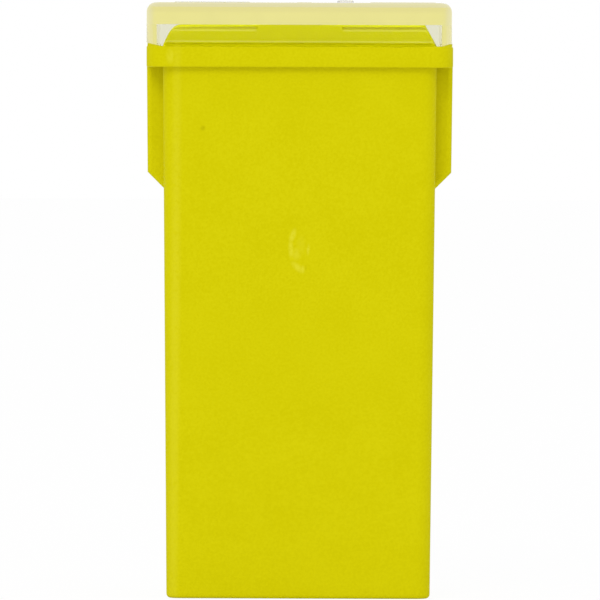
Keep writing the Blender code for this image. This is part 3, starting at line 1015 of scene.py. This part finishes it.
@dataclass
class Housing(Piece):
    """The moulded housing: a drafted tube with a rim, two ears, and the neck inside the cap."""

    name: str = "nylon_housing"
    node: str = "housing"
    slot: Slot = Slot.YELLOW_NYLON
    finishes: tuple[Finish, ...] = (Nylon(),)
    rim_side_reach: float = 0.000995
    rim_front_reach: float = 0.0005
    rim_height: float = 0.00127
    rim_corner: float = 0.0011
    rim_edge: float = 0.00005
    rim_foot_edge: float = 0.00045
    rim_wave: float = 0.00005
    rim_wave_length: float = 0.0011
    rim_dip: float = 0.8
    rim_dip_ends: Point = (0.0011, 0.0022)
    rim_slices: int = 60
    outline_turn: float = 1.2
    lands: Lands = Lands()
    neck_height: float = 0.00123
    tube_corner: float = 0.0009
    foot_radius: float = 0.00025
    foot_steps: int = 6
    draft_degrees: float = 0.54
    wall: float = 0.0012
    divider: float = 0.0012
    floor: float = 0.0012
    core_corner: float = 0.0004
    ear_inset: float = -0.00001
    ear_depth: float = 0.0066
    ear_length: float = 0.0064
    ear_edge: float = 0.0003
    ear_steps: int = 6
    ear_draft_degrees: float = 0.6
    round_shoulder_run: float = 0.0012
    round_shoulder_lean: float = 0.12
    straight_shoulder_run: float = 0.00073
    neck_corner: float = 0.0003
    neck_side_inset: float = 0.00097
    ceiling_gap: float = 0.0001
    weld_gap: float = 0.000006
    block_width: float = 0.0051
    chamfer: float = 0.00012
    chamfer_break: Point = (-0.0018, 0.0014)
    chamfer_fade: float = 0.0018
    panel_depth: float = 0.00012
    panel_foot: float = 0.00022
    groove_top: float = 0.00013
    groove_height: float = 0.00030
    groove_depth: float = 0.00002
    slot_height: float = 0.0002
    slot_sink: float = 0.00002
    slot_depth: float = 0.00008
    divider_drop: float = 0.0027
    window_width: float = 0.0024
    window_lead_in: float = 0.0004
    window_end_wall: float = 0.00065
    soft_edge: float = 0.00005
    soft_steps: int = 2
    corner_steps: int = 12
    edge_steps: int = 4

    def __post_init__(self) -> None:
        """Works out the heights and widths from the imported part's box."""
        super().__post_init__()
        self.rim_top = self.high.z - self.neck_height
        self.neck_top = self.high.z + self.ceiling_gap - self.weld_gap
        self.tube_length = self.rim_top - self.rim_height
        self.rim_width = self.high.x - self.low.x
        self.rim_depth = self.high.y - self.low.y
        self.tube_width = self.rim_width - 2 * self.rim_side_reach
        self.tube_depth = self.rim_depth - 2 * self.rim_front_reach
        self.taper = 2 * self.tube_length * math.tan(math.radians(self.draft_degrees))
        self.core_width = self.tube_width - self.taper - 2 * self.wall
        self.core_depth = self.tube_depth - self.taper - 2 * self.wall
        self.neck_width = self.rim_width - 2 * self.neck_side_inset
        self.neck_depth = self.rim_depth - 2 * self.neck_side_inset

    def tube(self) -> BMesh:
        """The drafted tube with its rounded corners and foot."""
        size = (self.tube_width, self.tube_depth)
        bm = make_block(
            size, 0.0, self.tube_length, self.tube_corner, self.corner_steps, self.taper
        )
        bevel_edges(bm, level_edges(bm, 0.0), self.foot_radius, self.foot_steps)
        return bm

    def rim(self) -> BMesh:
        """The band round the top of the tube, in slices so that its upper edge can wave."""
        size = (self.rim_width, self.rim_depth)
        bm = make_block(size, self.tube_length, self.rim_top, self.rim_corner, self.corner_steps)
        for step in range(1, self.rim_slices):
            middle = (self.rim_width * (step / self.rim_slices - 0.5), 0, 0)
            bmesh.ops.bisect_plane(
                bm, geom=everything(bm), dist=MERGE, plane_co=middle, plane_no=(1, 0, 0)
            )
        self.round_level(bm, self.rim_top, self.rim_edge)
        self.round_level(bm, self.tube_length, self.rim_foot_edge)
        self.wave_top(bm)
        bmesh.ops.triangulate(bm, faces=bm.faces)
        return bm

    def wave_top(self, bm: BMesh) -> None:
        """Lets the rim's upper edge wave, and dip between its ends."""
        start, full = self.rim_dip_ends
        for vert in bm.verts:
            if vert.co.z > self.rim_top - 2 * self.rim_edge:
                face = math.copysign(self.rim_depth, vert.co.y)
                place = Vector((vert.co.x, face, 0)) / self.rim_wave_length
                inward = (self.rim_width / 2 - abs(vert.co.x) - start) / (full - start)
                dip = self.rim_dip * min(max(inward, 0.0), 1.0)
                vert.co.z += self.rim_wave * (noise.noise(place) - dip)

    def round_level(self, bm: BMesh, height: float, radius: float) -> None:
        """Rounds the outline of the rim's top or foot."""
        edges = level_edges(bm, height)
        outline = [edge for edge in edges if edge.calc_face_angle() > self.outline_turn]
        bevel_edges(bm, outline, radius, self.edge_steps)

    def ear(self, side: Side) -> BMesh:
        """One side ear: a drafted pad under the rim that ends in a 45 degree slope."""
        root = self.tube_width / 2 - self.wall / 2
        top = self.tube_length + self.rim_height / 2
        reach = self.rim_width / 2 - self.ear_inset
        tip = reach - self.ear_length * math.tan(math.radians(self.ear_draft_degrees))
        slope_top = self.tube_length - self.ear_length
        sign = side.value
        outline = [
            (sign * root, top),
            (sign * reach, top),
            (sign * reach, self.tube_length),
            (sign * tip, slope_top),
            (sign * root, slope_top - (tip - root)),
        ]
        bm = make_prism(outline, self.ear_depth)
        beyond = self.tube_width / 2
        edges = upright_edges(bm)
        outer = [edge for edge in edges if max(abs(v.co.x) for v in edge.verts) > beyond]
        bevel_edges(bm, outer, self.ear_edge, self.ear_steps)
        return bm

    def neck(self) -> BMesh:
        """The neck, with a rounded shoulder on the left and a straight one on the right."""
        half = self.neck_width / 2
        base = self.rim_top - OVERLAP
        height = self.neck_top - self.rim_top
        outline = [
            (-half, base),
            (half, base),
            (half, self.rim_top),
            (half - self.straight_shoulder_run, self.neck_top),
        ]
        for share in [0.0, *shares(self.corner_steps)]:
            turn = math.pi / 2 * (1 - share)
            rise = math.sin(turn)
            run = 1 - math.cos(turn) + self.round_shoulder_lean * math.sin(math.pi * rise)
            outline.append((-half + self.round_shoulder_run * run, self.rim_top + height * rise))
        bm = make_prism(outline, self.neck_depth)
        bevel_edges(bm, upright_edges(bm), self.neck_corner, self.edge_steps)
        return bm

    def chamfer_cuts(self) -> list[BMesh]:
        """The cutters for the slope along the neck's top edges, which fades out at the middle."""
        cuts = []
        reach = self.neck_width / 2
        start, end = self.chamfer_break
        for face in Side:
            for inner, outer in ((start, -reach), (end, reach)):
                fade = math.copysign(self.chamfer_fade, outer)
                rows = [(inner, 0.0), (inner + fade, self.chamfer), (outer, self.chamfer)]
                cuts.append(self.wedge(rows, face))
        return cuts

    def wedge(self, rows: Sequence[Point], face: Side) -> BMesh:
        """A three-sided bar along one of the neck's top edges, as thick as each row says.

        Args:
            rows: The X of each row and how far the bar cuts into the neck there.
            face: The front or the back, as the sign on the Y axis.

        Returns:
            The new mesh.
        """
        bm = bmesh.new()
        front = face.value * self.neck_depth / 2
        loops = []
        for x, cut in rows:
            points = (
                (front + face.value * OVERLAP, self.neck_top + OVERLAP),
                (front + face.value * OVERLAP, self.neck_top - cut - OVERLAP),
                (front - face.value * (cut + OVERLAP), self.neck_top + OVERLAP),
            )
            loops.append([bm.verts.new((x, y, z)) for y, z in points])
        for first, second in zip(loops, loops[1:]):
            edges = []
            for loop in (first, second):
                for index in range(len(loop)):
                    pair = (loop[index - 1], loop[index])
                    edges.append(bm.edges.get(pair) or bm.edges.new(pair))
            bmesh.ops.bridge_loops(bm, edges=edges)
        bm.faces.new(loops[0])
        bm.faces.new(loops[-1])
        return bm

    def panel_cuts(self) -> list[BMesh]:
        """The cutters for the sunk panels, each with a V groove along its top."""
        inner = self.block_width / 2
        outer = self.neck_width / 2 + OVERLAP
        low = self.rim_top + self.panel_foot
        high = self.neck_top - self.groove_top
        foot = high - self.groove_height
        deepest = self.panel_depth + self.groove_depth
        profile = [
            (-OVERLAP, low),
            (self.panel_depth, low),
            (self.panel_depth, foot),
            (deepest, (foot + high) / 2),
            (0.0, high),
            (-OVERLAP, high),
        ]
        cuts = []
        for face in Side:
            for start, end in ((-outer, -inner), (inner, outer)):
                cutter = make_prism(profile, end - start)
                for vert in cutter.verts:
                    sunk, along, height = vert.co
                    y = face.value * (self.neck_depth / 2 - sunk)
                    vert.co = ((start + end) / 2 + along, y, height)
                cuts.append(cutter)
        return cuts

    def slot_cut(self, face: Side) -> BMesh:
        """The cutter for the slot along the foot of the neck's front or back."""
        size = (self.neck_width + 2 * OVERLAP, self.slot_depth + OVERLAP)
        low, high = self.rim_top - self.slot_sink, self.rim_top + self.slot_height
        middle = face.value * (self.neck_depth / 2 - self.slot_depth + size[1] / 2)
        return shift(make_block(size, low, high), y=middle)

    def window_cut(self, side: Side) -> BMesh:
        """A tab window through the floor, whose sides slope outwards at its foot."""
        size = (self.window_width, self.core_depth - 2 * self.window_end_wall)
        low = self.window_lead_in
        bm = make_block(size, low, self.floor + OVERLAP)
        foot = [face for face in bm.faces if all(abs(v.co.z - low) < MERGE for v in face.verts)]
        swept = bmesh.ops.extrude_face_region(bm, geom=foot)["geom"]
        bmesh.ops.delete(bm, geom=foot, context="FACES_ONLY")
        run = low + OVERLAP
        for vert in only(BMVert, swept):
            vert.co.x += math.copysign(run, vert.co.x)
            vert.co.y += math.copysign(run, vert.co.y)
            vert.co.z = -OVERLAP
        return shift(bm, x=side.value * (self.divider + self.core_width) / 4)

    def build(self) -> Object:
        """Joins the tube, rim, ears and neck, and cuts the panels, core and windows."""
        housing = solid_object(self.name, self.tube())
        rim = (self.rim_width, self.rim_depth)
        adds = [self.rim(), *[self.ear(side) for side in Side]]
        adds += [self.lands.solid(side, rim, self.rim_top) for side in Side]
        adds.append(self.neck())
        size = (self.core_width, self.core_depth)
        top = self.neck_top + OVERLAP
        core = make_block(size, self.floor, top, self.core_corner, self.edge_steps)
        size = (self.divider, self.core_depth + self.wall)
        divider = make_block(size, self.floor / 2, self.high.z - self.divider_drop)
        tools = [(bm, Join.ADD) for bm in adds]
        tools += [(bm, Join.CUT) for bm in [*self.panel_cuts(), *self.chamfer_cuts(), core]]
        tools += [(self.slot_cut(face), Join.CUT) for face in Side]
        tools.append((divider, Join.ADD))
        tools += [(self.window_cut(side), Join.CUT) for side in Side]
        combine(housing, tools)
        soften_edges(housing, self.soft_edge, self.soft_steps)
        return housing


@dataclass(frozen=True)
class Pad:
    """A plain raised bar on top of the cap."""

    x: float
    y: float
    length: float
    rise: float


@dataclass
class Cap(Piece):
    """The clear cap: a plate with rounded edges and a skirt that closes over the neck."""

    name: str = "clear_cap_moulding"
    node: str = "clear_cap"
    slot: Slot = Slot.CLEAR_PLASTIC
    finishes: tuple[Finish, ...] = (ClearPlastic(),)
    side_play: float = -0.00004
    skirt_wall: float = 0.00075
    side_wall: float = 0.00062
    plate_thickness: float = 0.0013
    corner: float = 0.00105
    top_radius: float = 0.00055
    inner_corner: float = 0.00035
    inner_steps: int = 8
    inner_edge: float = 0.00003
    inner_edge_steps: int = 2
    foot_edge: float = 0.00008
    foot_steps: int = 3
    seat_gap: float = 0.0002
    weld_gap: float = 0.00002
    rim_overhang: float = 0.00004
    lands: Lands = Lands()
    pad_width: float = 0.00055
    pad_round: float = 0.45
    pad_steps: int = 6
    pad_edge: float = 0.00006
    pad_edge_share: float = 0.8
    pad_edge_steps: int = 3
    top_lift: float = 0.00003
    pads: tuple[Pad, ...] = (
        Pad(0.0028, -0.0049, 0.00100, 0.00017),
        Pad(0.0003, -0.0049, 0.00095, 0.00005),
        Pad(-0.0053, -0.0049, 0.0046, 0.00007),
        Pad(0.0063, -0.0049, 0.0040, 0.00006),
        Pad(-0.0037, 0.0040, 0.0026, 0.00006),
        Pad(0.0029, 0.0040, 0.0034, 0.00006),
    )
    corner_steps: int = 14

    def land_cut(self, side: Side) -> BMesh:
        """The cut that lets the skirt down onto the land at one end of the rim."""
        rim_top = self.low.z - self.seat_gap + self.weld_gap
        place, normal = self.lands.slope(side, self.high.x + self.rim_overhang, rim_top)
        along = Vector((side.value, 0, -side.value * normal.x / normal.z)) * 2 * self.corner
        end, deep = place + along, Vector((0, 0, 2 * OVERLAP))
        outline = [(point.x, point.z) for point in (place - deep, end - deep, end, place)]
        return make_prism(outline, self.high.y - self.low.y + 2 * OVERLAP)

    def middle_cut(self) -> BMesh:
        """The cut that lifts the skirt off the rim between its two ends."""
        half = self.high.x + self.rim_overhang - self.lands.runs[0]
        outline = [
            (-half, self.low.z - 2 * OVERLAP),
            (half, self.low.z - 2 * OVERLAP),
            (half - self.seat_gap, self.low.z),
            (self.seat_gap - half, self.low.z),
        ]
        return make_prism(outline, self.high.y - self.low.y + 2 * OVERLAP)

    def pad(self, pad: Pad) -> BMesh:
        """One plain raised bar with rounded ends and edges."""
        size = (pad.length, self.pad_width)
        low, top = self.high.z - self.plate_thickness / 4, self.high.z + pad.rise
        bm = make_block(size, low, top, self.pad_width * self.pad_round, self.pad_steps)
        edge = min(pad.rise * self.pad_edge_share, self.pad_edge)
        bevel_edges(bm, level_edges(bm, top), edge, self.pad_edge_steps)
        return shift(bm, pad.x, pad.y)

    def build(self) -> Object:
        """Builds the shell, hollows it, shapes its foot and adds the pads."""
        size = (self.high.x - self.low.x, self.high.y - self.low.y)
        foot = self.low.z - self.seat_gap
        top = self.high.z + self.top_lift
        shell = make_block(size, foot, top, self.corner, self.corner_steps)
        bevel_edges(shell, level_edges(shell, top), self.top_radius, self.corner_steps)
        ceiling = self.high.z - self.plate_thickness
        inner = (size[0] - 2 * self.side_wall, size[1] - 2 * self.skirt_wall)
        hollow = make_block(inner, foot - OVERLAP, ceiling, self.inner_corner, self.inner_steps)
        bevel_edges(hollow, level_edges(hollow, ceiling), self.inner_edge, self.inner_edge_steps)
        cap = solid_object(self.name, shell)
        tools = [(hollow, Join.CUT), (self.middle_cut(), Join.CUT)]
        tools += [(self.land_cut(side), Join.CUT) for side in Side]
        tools += [(self.pad(pad), Join.ADD) for pad in self.pads]
        combine(cap, tools)
        soften_edges(cap, self.foot_edge, self.foot_steps)
        for vert in cap.data.vertices:
            vert.co.x += self.side_play
        return cap


@dataclass
class Folded(Piece):
    """A piece folded from one sheet of metal."""

    sheet: float = 0.0004
    bend_steps: int = 10
    curve_steps: int = 16
    burr: float = 0.00004
    burr_steps: int = 2

    def channel(self, offset: float, arm: float, bend: float, back: int) -> list[Point]:
        """A folded channel seen from above: an arm, a bend, the web, a bend and an arm.

        Args:
            offset: The distance of each arm's middle surface from the centre plane.
            arm: The width of each arm.
            bend: The radius of each bend's middle surface.
            back: 1 where the web lies towards +Y, and -1 where it lies towards -Y.

        Returns:
            The channel's points, centred on X = 0.
        """
        half = arm / 2
        points = [(offset, -half * back), (offset, half * back)]
        for centre, start in ((offset - bend, 0.0), (bend - offset, math.pi / 2)):
            for share in [0.0, *shares(self.bend_steps)]:
                turn = start + math.pi / 2 * share
                along = centre + bend * math.cos(turn)
                points.append((along, back * (half + bend * math.sin(turn))))
        points.append((-offset, -half * back))
        return points

    def arm_edges(self, row: Sequence[BMEdge], width: float) -> list[BMEdge]:
        """The edges of a row that are as long as the arms are wide."""
        return [edge for edge in row if abs(edge.calc_length() - width) < 10 * MERGE]

    def thick_object(self, bm: BMesh) -> Object:
        """Gives the sheet its thickness, with the last finish on its cut edges."""
        obj = solid_object(self.name, bm)
        for _ in self.finishes:
            obj.data.materials.append(None)
        wall = obj.modifiers.new("thickness", "SOLIDIFY")
        wall.thickness = self.sheet
        wall.offset = 0.0
        wall.use_even_offset = True
        wall.material_offset_rim = 1
        bake_modifiers(obj)
        return obj


@dataclass
class Element(Folded):
    """The fuse element: two receptacles for male tabs, joined by the bridge that melts."""

    name: str = "folded_element"
    node: str = "fuse_element"
    slot: Slot = Slot.PLATED_COPPER
    finishes: tuple[Finish, ...] = (PLATED_COPPER, BARE_COPPER)
    leaf_bend: float = 0.0006
    leaf_foot: float = 0.0014
    web_top_drop: float = 0.0035
    web_lift: float = 0.0018
    crown_rise: float = 0.0007
    crown_half: float = 0.0016
    link_run: float = 0.0010
    flare_run: float = 0.0008
    link_width: float = 0.0028
    waist_width: float = 0.0012
    contact_height: float = 0.0050
    spring_length: float = 0.0060
    close_length: float = 0.0050
    close_offset: float = 0.0013
    contact_gap: float = 0.0005
    mouth_gap: float = 0.0024
    pellet_hole: float = 0.0006
    hole_steps: int = 48

    def __post_init__(self) -> None:
        """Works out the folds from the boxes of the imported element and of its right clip."""
        super().__post_init__()
        clip_low, clip_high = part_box("right_spring_clip")
        self.pocket = (clip_low.x + clip_high.x) / 2
        self.offset = self.high.x - self.sheet / 2 - self.pocket
        self.shoulder_width = self.high.y - self.low.y
        self.leaf_width = self.shoulder_width - self.sheet - 2 * self.leaf_bend
        self.crown = self.high.z - self.sheet / 2
        self.shoulder = self.crown - self.crown_rise
        self.close_foot = self.contact_height + self.spring_length
        self.close_top = self.close_foot + self.close_length

    def leaf_offset(self, height: float) -> float:
        """How far a leaf's middle surface stands from its tab's centre plane, at a height."""
        contact = (self.contact_gap + self.sheet) / 2
        mouth = (self.mouth_gap + self.sheet) / 2
        if height >= self.close_foot:
            share = min(1.0, (height - self.close_foot) / self.close_length)
            return eased(self.close_offset, self.offset, share)
        if height >= self.contact_height:
            share = (height - self.contact_height) / self.spring_length
            return eased(contact, self.close_offset, share)
        share = (self.contact_height - height) / (self.contact_height - self.leaf_foot)
        return contact + (mouth - contact) * share**2

    def leaf_heights(self) -> list[float]:
        """The heights down one leaf, from the top of its closing bend to its mouth."""
        heights = [self.close_top]
        for low in (self.close_foot, self.contact_height, self.leaf_foot):
            high = heights[-1]
            heights += [high + (low - high) * share for share in shares(self.curve_steps)]
        return heights

    def bridge_rows(self) -> list[tuple[float, float, float]]:
        """The bridge as X, height and half width, from its outer bend in to the crown's centre."""
        outer = self.pocket + self.offset
        rows = []
        for share in [0.0, *shares(self.bend_steps)]:
            turn = math.pi / 2 * share
            x = outer - self.leaf_bend * (1 - math.cos(turn))
            z = self.shoulder - self.leaf_bend * (1 - math.sin(turn))
            rows.append((x, z, eased(self.leaf_width, self.shoulder_width, share) / 2))
        flare = self.crown_half + self.link_run + self.flare_run
        rows.append((flare, self.shoulder, self.shoulder_width / 2))
        for share in shares(self.bend_steps):
            narrowing = (self.shoulder_width - self.waist_width) * math.sin(math.pi / 2 * share)
            x = flare - self.flare_run * share
            rows.append((x, self.shoulder, (self.shoulder_width - narrowing) / 2))
        for share in shares(self.curve_steps):
            x = self.crown_half + self.link_run * (1 - share)
            rows.append((x, eased(self.shoulder, self.crown, share), self.waist_width / 2))
        for share in shares(self.bend_steps):
            half = eased(self.waist_width, self.link_width, share) / 2
            rows.append((self.crown_half * (1 - share / 2), self.crown, half))
        rows.append((0.0, self.crown, self.link_width / 2))
        return rows

    def pull_leaf(self, bm: BMesh, edge: BMEdge) -> None:
        """Pulls one leaf down from its edge of the web to its mouth."""
        side = math.copysign(1, edge.verts[0].co.x - self.pocket)
        arm = [edge]
        for height in self.leaf_heights():
            x = self.pocket + side * self.leaf_offset(height)
            arm = pull_edges(bm, arm, lambda co, x=x, z=height: (x, co.y, z))

    def build(self) -> Object:
        """Pulls the sheet into its right half, mirrors it, and gives it its thickness and hole."""
        bm = bmesh.new()
        plan = self.channel(self.offset, self.leaf_width, self.leaf_bend, 1)
        web_top = self.shoulder - self.web_top_drop
        top = draw_line(bm, [(self.pocket + x, y, web_top) for x, y in plan])
        row = pull_edges(bm, top, lambda co: (co.x, co.y, self.close_top + self.web_lift))
        for edge in self.arm_edges(row, self.leaf_width):
            self.pull_leaf(bm, edge)
        arm = [top[0]]
        for x, height, half in self.bridge_rows():
            arm = pull_edges(
                bm, arm, lambda co, x=x, z=height, y=half: (x, math.copysign(y, co.y), z)
            )
        bmesh.ops.mirror(bm, geom=everything(bm), axis="X", merge_dist=MERGE)
        element = self.thick_object(bm)
        hole = bmesh.new()
        bmesh.ops.create_cone(
            hole,
            cap_ends=True,
            segments=self.hole_steps,
            radius1=self.pellet_hole,
            radius2=self.pellet_hole,
            depth=self.sheet + 2 * OVERLAP,
        )
        combine(element, [(shift(hole, z=self.crown), Join.CUT)])
        soften_edges(element, self.burr, self.burr_steps)
        return element


@dataclass
class SpringClip(Folded):
    """A steel clip that presses one receptacle's leaves together from outside."""

    slot: Slot = Slot.SPRING_STEEL
    finishes: tuple[Finish, ...] = (SPRING_STEEL,)
    sheet: float = 0.0003
    bend: float = 0.0005
    web_length: float = 0.0028

    def build(self) -> Object:
        """Folds the clip's web and its two converging arms."""
        centre = (self.low.x + self.high.x) / 2
        outer = (self.high.x - self.low.x) / 2 - self.sheet / 2
        arm_width = self.high.y - self.low.y - self.bend - self.sheet / 2
        tip = outer - self.arm_lean()
        bm = bmesh.new()
        plan = self.channel(outer, arm_width, self.bend, -1)
        front = self.high.y - arm_width / 2
        top = draw_line(bm, [(centre + x, front + y, self.high.z) for x, y in plan])
        row = pull_edges(bm, top, lambda co: (co.x, co.y, self.high.z - self.web_length))
        pull_edges(
            bm,
            self.arm_edges(row, arm_width),
            lambda co: (centre + math.copysign(tip, co.x - centre), co.y, self.low.z),
        )
        clip = self.thick_object(bm)
        soften_edges(clip, self.burr, self.burr_steps)
        return clip

    def arm_lean(self) -> float:
        """How far each arm leans in at its foot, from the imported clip's vertices there."""
        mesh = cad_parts[self.node].data
        centre = (self.low.x + self.high.x) / 2
        foot = [abs(v.co.x - centre) for v in mesh.vertices if v.co.z < self.low.z + self.sheet / 2]
        return (self.high.x - self.low.x) / 2 - max(foot)


@dataclass
class Pellet(Piece):
    """The tin pellet: a rivet with a domed head on each side of the element's crown."""

    name: str = "tin_rivet"
    node: str = "tin_pellet"
    slot: Slot = Slot.TIN
    finishes: tuple[Finish, ...] = (DULL_TIN,)
    shank_radius: float = 0.00055
    head_height: float = 0.00032
    dome_steps: int = 12
    turn_steps: int = 64
    soft_edge: float = 0.00003
    soft_steps: int = 2

    def build(self) -> Object:
        """Spins the rivet's profile."""
        centre = (self.low.z + self.high.z) / 2
        gap = (self.high.z - self.low.z) / 2 - self.head_height
        radius = self.high.x
        profile = [(0.0, gap + self.head_height)]
        for share in shares(self.dome_steps):
            turn = math.pi / 2 * share
            profile.append((radius * math.sin(turn), gap + self.head_height * math.cos(turn)))
        profile.append((self.shank_radius, gap))
        profile += [(x, -z) for x, z in reversed(profile)]
        bm = bmesh.new()
        draw_line(bm, [(x, 0, centre + z) for x, z in profile])
        bmesh.ops.spin(
            bm,
            geom=everything(bm),
            cent=(0, 0, 0),
            axis=(0, 0, 1),
            dvec=(0, 0, 0),
            angle=2 * math.pi,
            steps=self.turn_steps,
            use_merge=True,
            use_duplicate=False,
        )
        pellet = solid_object(self.name, bm)
        soften_edges(pellet, self.soft_edge, self.soft_steps)
        return pellet


@dataclass(frozen=True)
class Studio:
    """A pale floor, a soft key light at the left, and an even pale surround."""

    floor_size: float = 1.5
    floor_drop: float = 0.00002
    floor_colour: Colour = WHITE
    floor_glow: float = 0.95
    surround: float = 0.81
    key_power: float = 1.93
    key_size: float = 0.36
    key_distance: float = 0.95
    key_azimuth: float = -16.0
    key_elevation: float = 34.0
    target: Place = (0.0, 0.0, 0.018)

    def seen_directly(self, sheet: NodeSheet) -> NodeSocket:
        """1 for the rays that show the background: camera, glossy and transmission rays."""
        path = sheet.add("LightPath").outputs
        rays = ("Is Camera Ray", "Is Glossy Ray", "Is Transmission Ray")
        return sheet.math("MAXIMUM", *[path[ray] for ray in rays])

    def build_world(self) -> None:
        """The surround: white where it is seen, and at a plain level where it lights."""
        world = bpy.data.worlds.new("surround")
        world.use_nodes = True
        sheet = NodeSheet(world.node_tree)
        strength = sheet.ramp(self.seen_directly(sheet), (0.0, 1.0), (self.surround, 1.0))
        background = sheet.feed(sheet.add("Background"), Color=WHITE, Strength=strength)
        sheet.feed(sheet.add("OutputWorld"), Surface=background.outputs[0])
        bpy.context.scene.world = world

    def build_floor(self) -> Object:
        """The floor, which glows where it is seen, takes the shadow, and is clear from below."""
        bm = bmesh.new()
        bmesh.ops.create_grid(bm, x_segments=1, y_segments=1, size=self.floor_size)
        floor = solid_object("floor", shift(bm, z=-self.floor_drop))
        material = bpy.data.materials.new("pale_floor")
        material.use_nodes = True
        sheet = NodeSheet(material.node_tree)
        diffuse = sheet.feed(sheet.add("BsdfDiffuse"), Color=self.floor_colour)
        glow = sheet.feed(sheet.add("Emission"), Color=WHITE)
        seen = sheet.math("MULTIPLY", self.seen_directly(sheet), self.floor_glow)
        above = sheet.mix_shaders(seen, diffuse, glow)
        below = sheet.add("NewGeometry").outputs["Backfacing"]
        surface = sheet.mix_shaders(below, above, sheet.add("BsdfTransparent"))
        sheet.feed(sheet.add("OutputMaterial"), Surface=surface.outputs[0])
        floor.data.materials.append(material)
        return floor

    def build_key(self) -> Object:
        """The soft key light, at the left, in front and above."""
        lamp = bpy.data.lights.new("key", "AREA")
        lamp.energy = self.key_power
        lamp.size = self.key_size
        light = bpy.data.objects.new("key", lamp)
        light.visible_glossy = False
        azimuth, elevation = math.radians(self.key_azimuth), math.radians(self.key_elevation)
        level = math.cos(elevation)
        away = Vector((math.sin(azimuth) * level, -math.cos(azimuth) * level, math.sin(elevation)))
        light.location = Vector(self.target) + away * self.key_distance
        light.rotation_euler = away.to_track_quat("Z", "Y").to_euler()
        bpy.context.scene.collection.objects.link(light)
        return light

    def build(self) -> None:
        """Sets up the surround, the floor and the key light."""
        self.build_world()
        self.build_floor()
        self.build_key()
        bpy.context.scene.view_settings.view_transform = "Standard"


@dataclass(frozen=True)
class PhotoCamera:
    """The camera at the photograph's place: far in front and slightly above."""

    distance: float = 0.6
    height: float = 0.034
    aim_x: float = 0.00006
    aim_z: float = 0.01818
    front: float = -0.0056
    picture_width: float = 0.03643
    roll_degrees: float = 0.2
    sensor: float = 36.0
    clip: Point = (0.01, 10.0)

    def build(self) -> Object:
        """Makes the camera and gives it to the scene."""
        data = bpy.data.cameras.new("photo_camera")
        data.sensor_width = self.sensor
        place = Vector((self.aim_x, self.front - self.distance, self.height))
        aim = Vector((self.aim_x, self.front, self.aim_z))
        reach = (aim - place).length
        data.lens = self.sensor * reach / self.picture_width
        data.clip_start, data.clip_end = self.clip
        camera = bpy.data.objects.new("photo_camera", data)
        camera.location = place
        look = (aim - place).to_track_quat("-Z", "Y")
        roll = Euler((0, 0, math.radians(self.roll_degrees))).to_quaternion()
        camera.rotation_euler = (look @ roll).to_euler()
        bpy.context.scene.collection.objects.link(camera)
        bpy.context.scene.camera = camera
        return camera


def main() -> None:
    """Builds the fuse's pieces in order, then the studio and the camera."""
    logging.basicConfig(level=logging.INFO, format="%(name)s: %(message)s")
    effects = Effects()
    pieces = [
        Housing(),
        Cap(),
        Element(),
        Pellet(),
        SpringClip("left_clip_spring", "left_spring_clip"),
        SpringClip("right_clip_spring", "right_spring_clip"),
    ]
    for piece in pieces:
        piece.make(effects)
    Studio().build()
    PhotoCamera().build()


if __name__ == "__main__":
    main()
